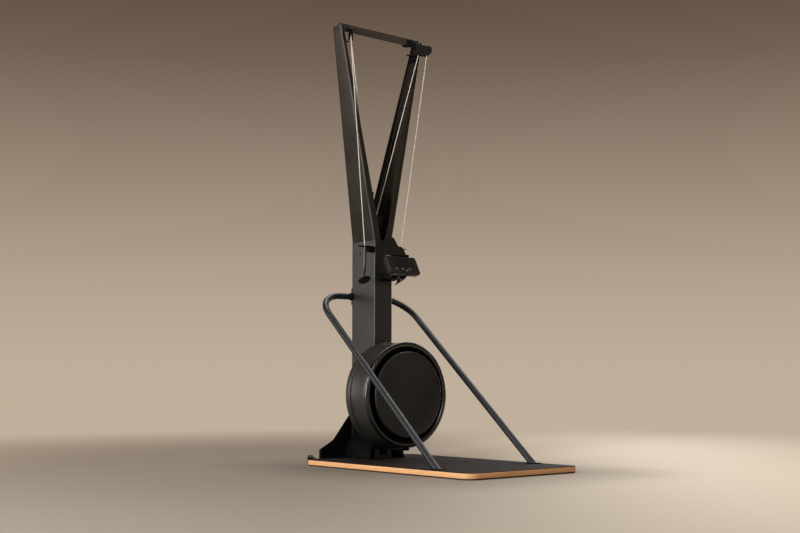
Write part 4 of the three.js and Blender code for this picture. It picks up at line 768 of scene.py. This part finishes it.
class SkiTrainerColours(bpy.types.PropertyGroup):
    """Colours of the finishes."""

    column: FloatVectorProperty(
        name="Column", description="Satin enamel of the column and its sleeve",
        default=(0.011, 0.0095, 0.008), subtype="COLOR", min=0, max=1,
    )
    arm: FloatVectorProperty(
        name="Arms", description="Black-brown enamel of the two folded arms",
        default=(0.012, 0.0088, 0.0062), subtype="COLOR", min=0, max=1,
    )
    crossbar: FloatVectorProperty(
        name="Crossbar", description="Dark brown enamel of the bar between the arms",
        default=(0.03, 0.021, 0.015), subtype="COLOR", min=0, max=1,
    )
    bracket: FloatVectorProperty(
        name="Brackets", description="Black of the base, the brackets and the heads' mounts",
        default=(0.002, 0.002, 0.002), subtype="COLOR", min=0, max=1,
    )
    tube: FloatVectorProperty(
        name="Stabiliser", description="Dark grey enamel of the stabiliser tubes",
        default=(0.006, 0.0065, 0.0075), subtype="COLOR", min=0, max=1,
    )
    drum: FloatVectorProperty(
        name="Drum", description="Charcoal plastic of the drum's housing",
        default=(0.012, 0.0102, 0.0085), subtype="COLOR", min=0, max=1,
    )
    bezel: FloatVectorProperty(
        name="Bezel", description="Black plastic of the drum's bezel",
        default=(0.0018, 0.0018, 0.0018), subtype="COLOR", min=0, max=1,
    )
    cover: FloatVectorProperty(
        name="Drum cover", description="Smooth black of the drum's cover",
        default=(0.004, 0.0033, 0.003), subtype="COLOR", min=0, max=1,
    )
    console: FloatVectorProperty(
        name="Console", description="Dark plastic of the console and the pulley heads",
        default=(0.007, 0.0062, 0.0055), subtype="COLOR", min=0, max=1,
    )
    handle: FloatVectorProperty(
        name="Handles", description="Glossy black of the handles",
        default=(0.006, 0.006, 0.0065), subtype="COLOR", min=0, max=1,
    )
    button: FloatVectorProperty(
        name="Keys", description="Grey of the console's keys",
        default=(0.06, 0.058, 0.053), subtype="COLOR", min=0, max=1,
    )
    screen: FloatVectorProperty(
        name="Display", description="Dark display window",
        default=(0.005, 0.0032, 0.0026), subtype="COLOR", min=0, max=1,
    )
    birch: FloatVectorProperty(
        name="Birch face", description="Light plies of the timber board",
        default=(0.72, 0.36, 0.14), subtype="COLOR", min=0, max=1,
    )
    birch_end: FloatVectorProperty(
        name="Birch end grain", description="Dark plies of the timber board",
        default=(0.5, 0.22, 0.08), subtype="COLOR", min=0, max=1,
    )
    sheet: FloatVectorProperty(
        name="Anti-slip sheet", description="Black sheet that the user stands on",
        default=(0.01, 0.0068, 0.005), subtype="COLOR", min=0, max=1,
    )
    underlay: FloatVectorProperty(
        name="Underlay", description="Foam under the board, and the wheels' rubber",
        default=(0.012, 0.011, 0.01), subtype="COLOR", min=0, max=1,
    )
    cord: FloatVectorProperty(
        name="Cords", description="Cream braid of the pull cords",
        default=(0.66, 0.59, 0.5), subtype="COLOR", min=0, max=1,
    )
    # The floor's two colours: the shaded one is painted shade and the lit one painted light, and the
    # floor's colour runs from one to the other
    floor_shade: FloatVectorProperty(
        name="Floor, shaded side", description="Studio floor away from the light",
        default=(0.155, 0.122, 0.093), subtype="COLOR", min=0, max=1,
    )
    floor: FloatVectorProperty(
        name="Floor, lit side", description="Studio floor towards the light",
        default=(0.5, 0.415, 0.32), subtype="COLOR", min=0, max=1,
    )
    horizon: FloatVectorProperty(
        name="Wall foot", description="Where the floor runs into the wall",
        default=(0.527, 0.429, 0.328), subtype="COLOR", min=0, max=1,
    )
    wall: FloatVectorProperty(
        name="Wall, low", description="Wall behind the machine's drum",
        default=(0.468, 0.376, 0.292), subtype="COLOR", min=0, max=1,
    )
    wall_middle: FloatVectorProperty(
        name="Wall, middle", description="Wall behind the machine's console",
        default=(0.309, 0.242, 0.184), subtype="COLOR", min=0, max=1,
    )
    wall_high: FloatVectorProperty(
        name="Wall, high", description="Wall behind the machine's arms",
        default=(0.165, 0.12, 0.084), subtype="COLOR", min=0, max=1,
    )
    wall_top: FloatVectorProperty(
        name="Wall, top", description="Wall above the machine",
        default=(0.11, 0.075, 0.054), subtype="COLOR", min=0, max=1,
    )
    soft_light: FloatVectorProperty(
        name="Soft light", description="Even light from all round",
        default=(0.16, 0.15, 0.135), subtype="COLOR", min=0, max=1,
    )


# Operators


class StageNodes(Finish):
    """The same node helpers on the world's own tree."""

    def __init__(self, world):
        world.use_nodes = True
        self.tree = world.node_tree
        self.shader = next(n for n in self.tree.nodes if n.type == "OUTPUT_WORLD")


def seen_by_eye_and_gloss(finish):
    """One for camera, glossy and transmission rays, nothing for those that light the machine."""
    outputs = finish.node("ShaderNodeLightPath").output.node.outputs
    rays = ("Is Camera Ray", "Is Glossy Ray", "Is Transmission Ray")
    camera, glossy, transmitted = (Socket(finish, outputs[ray]) for ray in rays)
    return (camera + glossy).maths("ADD", transmitted, clamp=True)


class SKI_OT_stage(bpy.types.Operator):
    """Camera, lamps, floor and the plain background"""

    bl_idname = "ski.stage"
    bl_label = "Stage"

    def execute(self, context):
        camera = bpy.data.cameras.new("camera")
        camera.lens = context.scene.ski_trainer_sizes.camera_lens
        camera.sensor_width = CAMERA_SENSOR
        camera.clip_end = CAMERA_REACH
        eye = bpy.data.objects.new("camera", camera)
        eye.location = CAMERA_PLACE
        eye.rotation_euler = [math.radians(angle) for angle in CAMERA_TURN]
        context.scene.collection.objects.link(eye)
        context.scene.camera = eye
        context.scene.view_settings.view_transform = "Standard"

        for lamp in LAMPS:
            self.lamp(context, *lamp)
        colours = context.scene.ski_trainer_colours
        self.background(context, colours)
        self.ground(context, colours)
        return {"FINISHED"}

    def lamp(self, context, name, place, target, size, power, colour):
        light = bpy.data.lights.new(name, "AREA")
        light.shape = "RECTANGLE"
        light.size, light.size_y = size
        light.energy = power
        light.color = colour
        lamp = bpy.data.objects.new(name, light)
        lamp.location = place
        lamp.rotation_euler = (Vector(target) - Vector(place)).to_track_quat("-Z", "Y").to_euler()
        context.scene.collection.objects.link(lamp)

    def background(self, context, colours):
        """A plain wall that darkens upwards, and a soft even light that is not seen."""
        world = context.scene.world or bpy.data.worlds.new("studio")
        context.scene.world = world
        nodes = StageNodes(world)
        direction = nodes.node("ShaderNodeTexCoord", output="Generated")
        stops = [(height, getattr(colours, name)) for name, height in WALL_HEIGHTS.items()]
        wall = nodes.ramp(separated(nodes, direction)[2], *stops)
        seen = nodes.node("ShaderNodeBackground", {}, wall, 1.0)
        light = nodes.node("ShaderNodeBackground", {}, (*colours.soft_light, 1.0), 1.0)
        both = nodes.node("ShaderNodeMixShader", {}, seen_by_eye_and_gloss(nodes), light, seen)
        nodes.tree.links.new(both.output, nodes.shader.inputs["Surface"])

    def ground(self, context, colours):
        """The floor: painted shade on one side and round the board, and the wall's colour far off."""
        floor = Finish("studio_floor", metallic=0.0, roughness=0.8, specular_ior_level=0.15)
        x, y, _ = separated(floor, floor.place())
        # Painted light: the floor's colour grows lighter along one way, from its painted shade to its
        # lit colour
        painted_light_side = floor.spread(
            x * PAINTED_LIGHT_WAY_X + y * PAINTED_LIGHT_WAY_Y, PAINTED_LIGHT_FROM, PAINTED_LIGHT_TO, 0.0, 1.0, "SMOOTHSTEP",
        )
        painted_light_tone = floor.mix(painted_light_side, tuple(colours.floor_shade), tuple(colours.floor))
        # Painted shadow: the floor's colour darkens towards the board's edges
        low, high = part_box("platform_board")
        middle = (low + high) / 2.0
        beside = floor.clear_of(x - middle.x, (high.x - low.x) / 2.0)
        before = floor.clear_of(y - middle.y, (high.y - low.y) / 2.0)
        gap = (beside * beside + before * before) ** 0.5
        painted_shadow = floor.spread(gap, 0.0, PAINTED_SHADOW_REACH, PAINTED_SHADOW_DEPTH, 0.0, "SMOOTHSTEP")
        floor.wear(base_color=floor.mix(painted_shadow, painted_light_tone, toned(colours.floor_shade, 0.5)))
        reach = (x * x + y * y) ** 0.5
        far = floor.spread(reach, FADE_FROM, FADE_TO, 0.0, 1.0, "SMOOTHSTEP")
        eye = floor.node("ShaderNodeLightPath", output="Is Camera Ray")
        glow = floor.node("ShaderNodeEmission", {}, (*colours.horizon, 1.0), 1.0)
        output = next(n for n in floor.tree.nodes if n.type == "OUTPUT_MATERIAL")
        lit = Socket(floor, floor.shader.outputs[0])
        both = floor.node("ShaderNodeMixShader", {}, far * eye, lit, glow)
        floor.tree.links.new(both.output, output.inputs["Surface"])
        bm = bmesh.new()
        bmesh.ops.create_grid(bm, x_segments=1, y_segments=1, size=FLOOR_HALF)
        mesh = bpy.data.meshes.new("floor")
        bm.to_mesh(mesh)
        bm.free()
        mesh.materials.append(floor.material)
        ground = bpy.data.objects.new("floor", mesh)
        context.scene.collection.objects.link(ground)


class SKI_OT_cords(bpy.types.Operator):
    """The pull cords, from the handles over the pulleys to the spools"""

    bl_idname = "ski.cords"
    bl_label = "Cords"

    def execute(self, context):
        yaw = math.radians(PULLEY_YAW)
        outwards = Vector((math.sin(yaw), -math.cos(yaw), 0))
        over = []
        for i in range(CORD_OVER_STEPS + 1):
            angle = math.pi * i / CORD_OVER_STEPS
            place = Vector(PULLEY) + outwards * CORD_TURN * math.cos(angle)
            over.append(tuple(place + UP * CORD_TURN * math.sin(angle)))
        top, end = Vector(OUTER_CORD_TOP), Vector(OUTER_CORD_END)
        falling = [tuple(end)] + self.steps(end, top, CORD_FALL_STEPS)
        for side, sign in SIDES:
            self.inner(over, side, sign)
            bm = self.bar(falling)
            bm = bm if sign > 0 else mirrored(bm)
            piece = loose(bm, f"pull_cord_{side}", "cord", (f"outer_cord_{side}",))
            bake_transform(piece)
        return {"FINISHED"}

    def inner(self, over, side, sign):
        """The drive cord: over the pulley, down the arm to the column's eye, and on to its spool."""
        eye, spool = Vector(CORD_EYE), Vector(ON_SPOOL[side])
        if sign < 0:
            spool.x = -spool.x
        run = self.steps(Vector(over[-1]), eye, CORD_RUN_STEPS)
        below = self.steps(eye, spool, CORD_RUN_STEPS)
        bm = self.bar([*over, *run, *below])
        bm = bm if sign > 0 else mirrored(bm)
        keep(bm, f"drive_cord_{side}", "machine", "cord", (f"inner_cord_{side}",))

    def steps(self, start, end, count):
        """Even steps from one place, which isn't one of them, to another."""
        return [tuple(start.lerp(end, i / count)) for i in range(1, count + 1)]

    def bar(self, points):
        return along_path(points, [CORD_RADIUS] * len(points), sides=12, uv=True)


class SKI_OT_platform(bpy.types.Operator):
    """Underlay, timber board and anti-slip sheet"""

    bl_idname = "ski.platform"
    bl_label = "Platform"

    def execute(self, context):
        rounded = context.scene.ski_trainer_sizes.board_round / MM
        for node, name, corner, rounding, slot in (
            ("platform_underlay", "underlay", 56.0, 0.8, "underlay"),
            ("platform_board", "timber_board", 60.0, rounded, "birch"),
            ("platform_top_sheet", "anti_slip_sheet", 58.5, 0.5, "anti_slip"),
        ):
            low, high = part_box(node)
            size = (high - low) / MM
            bm = slab(rounded_outline(size.x, size.y, corner, 16), low.z / MM, high.z / MM)
            round_over(bm, rounding, 3, 60.0)
            bmesh.ops.remove_doubles(bm, verts=bm.verts, dist=SAME_PLACE)
            bmesh.ops.recalc_face_normals(bm, faces=bm.faces)
            keep(bm, name, "machine", slot, (node,))
        return {"FINISHED"}


class SKI_OT_drum(bpy.types.Operator):
    """The air drum: stepped housing, rounded bezel and dished cover"""

    bl_idname = "ski.drum"
    bl_label = "Air drum"

    def execute(self, context):
        steps = context.scene.ski_trainer_sizes.drum_steps
        place = facing(DRUM_AXIS, FORWARD)
        # Outlines of radius, height and, for filleted, each corner's rounding
        housing = filleted([
            (17.3, -14, 0), (26, -14, 0), (26, 0.3, 0), (62, 0.3, 1), (62, 22, 2), (258, 22, 6),
            (258, 56, 2.5), (250, 58, 2), (250, 150, 1.5), (258, 150, 2.5), (258, 172, 2.5),
            (250, 172, 1.5), (250, 179, 1), (246, 179, 0), (246, 26, 3), (8.6, 26, 0),
            (8.6, -2.7, 0), (17.3, -2.7, 0),
        ])
        bezel = [(239.7, 164.3), (245.7, 164.3), (245.7, BEZEL_FOOT)]
        bezel += crown(BEZEL_INNER, BEZEL_OUTER, BEZEL_FOOT, BEZEL_RISE) + [(239.7, BEZEL_FOOT)]
        dish = []
        for i in range(COVER_STEPS + 1):
            rise = COVER_RISE * (1 - math.cos(math.pi * i / COVER_STEPS))
            dish.append((COVER_REACH * i / COVER_STEPS, COVER_FRONT + rise))
        rim = filleted([
            (195, 201.4, 0), (211, 201.4, 5.5), (211, 188.4, 1.2), (207, 188.4, 1.2),
            (207, 197.4, 2), (195, 197.4, 0),
        ])
        back = [(r, h - COVER_WALL) for r, h in reversed(dish[:-1])]
        boss = [(28, 164.3), (32, 164.3), (32, 191), (28, 191)]
        cover = joined(
            lathe(dish + rim[1:-1] + back, place, steps, closed=False), lathe(boss, place, 48),
        )
        for shape, name, slot, node in (
            (lathe(housing, place, steps), "drum_shell", "drum_plastic", "drum_housing"),
            (lathe(bezel, place, steps), "rounded_bezel", "bezel_plastic", "drum_bezel"),
            (cover, "dished_cover", "cover_plastic", "drum_cover"),
        ):
            keep(shape, name, "machine", slot, (node,), 40.0)
        return {"FINISHED"}


class SKI_OT_stabiliser(bpy.types.Operator):
    """The bent tubes on both sides of the platform, welded to their feet"""

    bl_idname = "ski.stabiliser"
    bl_label = "Stabiliser"

    def execute(self, context):
        corner, foot = Vector(TUBE_CORNER), Vector(TUBE_FOOT)
        down, along = (foot - corner).normalized(), Vector((-1, 0, 0))
        points = [Vector((x, corner.y, corner.z)) for x in (TUBE_START, TUBE_STRAIGHT)]
        points += bend(corner, along, down, TUBE_BEND, 28)
        points += [points[-1].lerp(foot, 0.5), foot + down * TUBE_RADIUS]
        bm = along_path([tuple(p) for p in points], [TUBE_RADIUS] * len(points), sides=48)
        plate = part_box("stabiliser_foot_right")[1].z
        rim = cut_off_below(bm, plate + TUBE_LIFT * MM)
        bmesh.ops.contextual_create(bm, geom=rim)
        bmesh.ops.recalc_face_normals(bm, faces=bm.faces)
        pair(bm, "bent_tube", "tube_grey", ("stabiliser_tube_SIDE",), sharp=40.0)

        # The weld's round bead lies in an oval where the leaning tube meets its plate
        bead = []
        for i in range(10):
            angle = TURN * i / 10
            bead.append((WELD_RADIUS + WELD_BEAD * math.cos(angle), WELD_BEAD * math.sin(angle)))
        middle = corner.lerp(foot, (plate / MM - corner.z) / (foot.z - corner.z))
        oval = Matrix.Translation(mm(*middle)) @ Matrix.Diagonal((1, 1 / abs(down.z), 1, 1))
        weld = lathe(bead, oval, 64)
        cut_off_below(weld, plate)
        bmesh.ops.holes_fill(weld, edges=[e for e in weld.edges if e.is_boundary], sides=0)
        pair(weld, "foot_weld", "tube_grey", (), sharp=60.0)
        return {"FINISHED"}


class SKI_OT_handles(bpy.types.Operator):
    """The two hanging handles, each a straight grip that bends into a flared end"""

    bl_idname = "ski.handles"
    bl_label = "Handles"

    def execute(self, context):
        x, y, z = HANDLE_TOP
        for side, sign in SIDES:
            turn, lean = (math.radians(angle) for angle in HANDLE_TURNS[side])
            bm = self.handle(Vector((math.cos(turn), math.sin(turn), 0)))
            place = Matrix.Translation(mm(sign * x, y, z)) @ Matrix.Rotation(lean, 4, "Y")
            bmesh.ops.transform(bm, matrix=place, verts=bm.verts)
            own = f"handle_{side}"
            keep(bm, f"flared_handle_{side}", own, "handle_plastic", (own,), 50.0)
        return {"FINISHED"}

    def handle(self, outwards):
        """A handle that hangs from the origin, its flare turned outwards."""
        tilt = math.radians(FLARE_TILT)
        ahead = outwards * math.sin(tilt) - UP * math.cos(tilt)
        base = Vector((0, 0, -GRIP_LENGTH))
        stem_end = base - ahead * (FLARE_DEPTH - FLARE_LAP)
        start = Vector((0, 0, -GRIP_STRAIGHT))
        first = Vector((0, 0, -GRIP_STRAIGHT - GRIP_EASE))
        second = stem_end - ahead * GRIP_EASE
        points, radii = [], []
        for i in reversed(range(7)):
            angle = math.pi / 12 * i
            points.append(Vector((0, 0, -GRIP_TIP * (1 - math.sin(angle)))))
            radii.append(GRIP_RADIUS - GRIP_TIP * (1 - math.cos(angle)))
        points += [Vector((0, 0, z)) for z in GRIP_RINGS]
        for i in range(25):
            t = i / 24
            points.append(
                start * (1 - t) ** 3 + first * (3 * t * (1 - t) ** 2)
                + second * (3 * t * t * (1 - t)) + stem_end * t ** 3
            )
        radii += [GRIP_RADIUS] * (len(points) - len(radii))
        stem = along_path([tuple(p) for p in points], radii, sides=36)

        widen = FLARE_RADIUS - GRIP_RADIUS
        edge = FLARE_EDGE / 2
        flare = [(0, FLARE_DISH), (FLARE_RADIUS - 6, FLARE_DISH), (FLARE_RADIUS - 4, 0)]
        for i in range(7):
            angle = math.pi * i / 8
            flare.append((FLARE_RADIUS - edge + edge * math.sin(angle), edge - edge * math.cos(angle)))
        for i in range(15):
            share = i / 14
            rise = FLARE_EDGE + (FLARE_DEPTH - FLARE_EDGE) * share
            flare.append((GRIP_RADIUS + widen * (1 - share) ** 2, rise))
        flare.append((0, FLARE_DEPTH))
        return joined(stem, lathe(flare, facing(base, -ahead), 64, closed=False))


class SKI_OT_wheels(bpy.types.Operator):
    """Pulley wheels in their heads and transport wheels behind the board"""

    bl_idname = "ski.wheels"
    bl_label = "Wheels"

    def execute(self, context):
        yaw = math.radians(PULLEY_YAW)
        across = (-math.cos(yaw), -math.sin(yaw), 0)
        # One half of each wheel's outline, as radius and height; the other half mirrors it
        groove = [
            (4.3, -6), (8.6, -6), (9.4, -4.8), (18.6, -4.8), (19.4, -6), (23.2, -6), (24, -5.4),
            (24, -4.6), (22.6, -3.6), (19.6, -1.7), (19, -0.8),
        ]
        tread = [
            (4.3, -7), (8, -7), (8.8, -5.4), (15, -5.4), (15.8, -7), (20.4, -7), (21.6, -5.6),
            (22, -3.4), (22, -1.2), (21.2, -0.6),
        ]
        for half in (groove, tread):
            half += [(r, -h) for r, h in reversed(half)]
        pair(
            lathe(groove, facing(PULLEY, across), 72), "grooved_pulley", "aluminium",
            ("pulley_wheel_SIDE",), body="pulley_SIDE", sharp=35.0,
        )
        pair(
            lathe(tread, facing(WHEEL_AXLE, (1, 0, 0)), 64), "solid_wheel", "wheel_rubber",
            ("transport_wheel_SIDE",), body="wheel_SIDE", sharp=35.0,
        )
        return {"FINISHED"}


class SKI_OT_console(bpy.types.Operator):
    """The tilting console with its display, keys and phone holder"""

    bl_idname = "ski.console"
    bl_label = "Console"

    def execute(self, context):
        eased("console_case", "console", "textured_plastic", 2.4, 4)
        eased("console_screen", "console", "screen_glass", 0.3)
        eased("phone_holder", "console", "textured_plastic", 0.8, finish=finishes().holder_black)
        eased("console_pin", "console", "bright_steel", 0.4, finish=finishes().black_steel)
        lean = Matrix.Rotation(math.pi / 2 - math.radians(CONSOLE_TILT), 4, "X")
        face = Matrix.Translation(mm(*CONSOLE_CENTRE)) @ lean
        profile = [(0, -KEY_SINK)] + filleted([
            (KEY_RADIUS, -KEY_SINK, 0), (KEY_RADIUS, KEY_RISE - 0.2, 1.1), (0, KEY_RISE, 0),
        ])
        for i, (x, y) in enumerate(KEY_PLACES, start=1):
            key = lathe(profile, face @ Matrix.Translation(mm(x, y, 0)), 40, closed=False)
            keep(
                key, f"domed_key_{i}", f"button_{i}", "button_plastic", (f"console_button_{i}",), 50.0,
            )
        return {"FINISHED"}


class SKI_OT_plain_parts(bpy.types.Operator):
    """Sheet metal, brackets and blocks, with their edges eased"""

    bl_idname = "ski.plain_parts"
    bl_label = "Sheet metal and brackets"

    def execute(self, context):
        ease = context.scene.ski_trainer_sizes.edge_round / MM
        for node, slot, width in (
            ("column", "satin_black", 0.9), ("junction_plate", "black_steel", ease),
            ("junction_sleeve", "satin_black", ease), ("rear_crossmember", "black_steel", ease),
            ("drum_strut", "black_steel", 1.0), ("bearing_carrier", "black_steel", ease),
            ("console_bracket", "black_steel", ease), ("console_arm", "black_steel", 1.0),
            ("stabiliser_clamp", "black_steel", ease),
        ):
            eased(node, "machine", slot, width)
        made = finishes()
        eased("crossbar", "machine", "satin_black", 1.0, finish=made.crossbar_brown)
        eased("intake_grille", "machine", "black_plastic", 0.3, finish=made.grille_black)
        for side in ("left", "right"):
            for node, slot, width in (
                ("arm_block", "black_plastic", 1.0), ("head_mount", "black_plastic", 1.0),
                ("handle_rest", "black_steel", 0.8), ("stabiliser_foot", "black_steel", 0.6),
                ("side_bracket", "black_steel", ease), ("wheel_fork", "black_steel", 0.5),
            ):
                eased(f"{node}_{side}", "machine", slot, width)
            head = f"pulley_housing_{side}"
            eased(head, "machine", "textured_plastic", 1.2, finish=made.head_black)
            eased(f"arm_{side}", "machine", "satin_black", 1.8, 3, finish=made.arm_black)
        # The fan wears a near-black finish, painted shade of the intake's depth
        eased("flywheel_fan", "flywheel", "aluminium", 0, finish=made.dark_cast)
        return {"FINISHED"}


class SKI_PT_panel(bpy.types.Panel):
    """Lists the pieces of the machine"""

    bl_idname = "SKI_PT_panel"
    bl_label = "Ski Trainer"
    bl_space_type = "VIEW_3D"
    bl_region_type = "UI"
    bl_category = "Ski Trainer"

    def draw(self, context):
        for operator in OPERATORS:
            self.layout.operator(operator.bl_idname)


OPERATORS = (
    SKI_OT_stage, SKI_OT_cords, SKI_OT_platform, SKI_OT_drum, SKI_OT_stabiliser,
    SKI_OT_handles, SKI_OT_wheels, SKI_OT_console, SKI_OT_plain_parts,
)
CLASSES = (SkiTrainerSizes, SkiTrainerColours, *OPERATORS, SKI_PT_panel)


def register():
    for cls in CLASSES:
        bpy.utils.register_class(cls)
    bpy.types.Scene.ski_trainer_sizes = PointerProperty(type=SkiTrainerSizes)
    bpy.types.Scene.ski_trainer_colours = PointerProperty(type=SkiTrainerColours)


def unregister():
    del bpy.types.Scene.ski_trainer_colours
    del bpy.types.Scene.ski_trainer_sizes
    for cls in reversed(CLASSES):
        bpy.utils.unregister_class(cls)


def dress_rest():
    """Gives the finish of its slot to every frame node that still shows."""
    slots = {part["node"]: part["material_slot"] for part in frame["record"]["subparts"]}
    for node, obj in frame["nodes"].items():
        if not obj.hide_render:
            for place in obj.material_slots:
                place.material = getattr(finishes(), slots[node])


def main():
    """Makes every piece, and gives its finish to every frame node that still shows."""
    register()
    for operator in OPERATORS:
        group, call = operator.bl_idname.split(".")
        getattr(getattr(bpy.ops, group), call)()
    dress_rest()


if __name__ == "__main__":
    main()
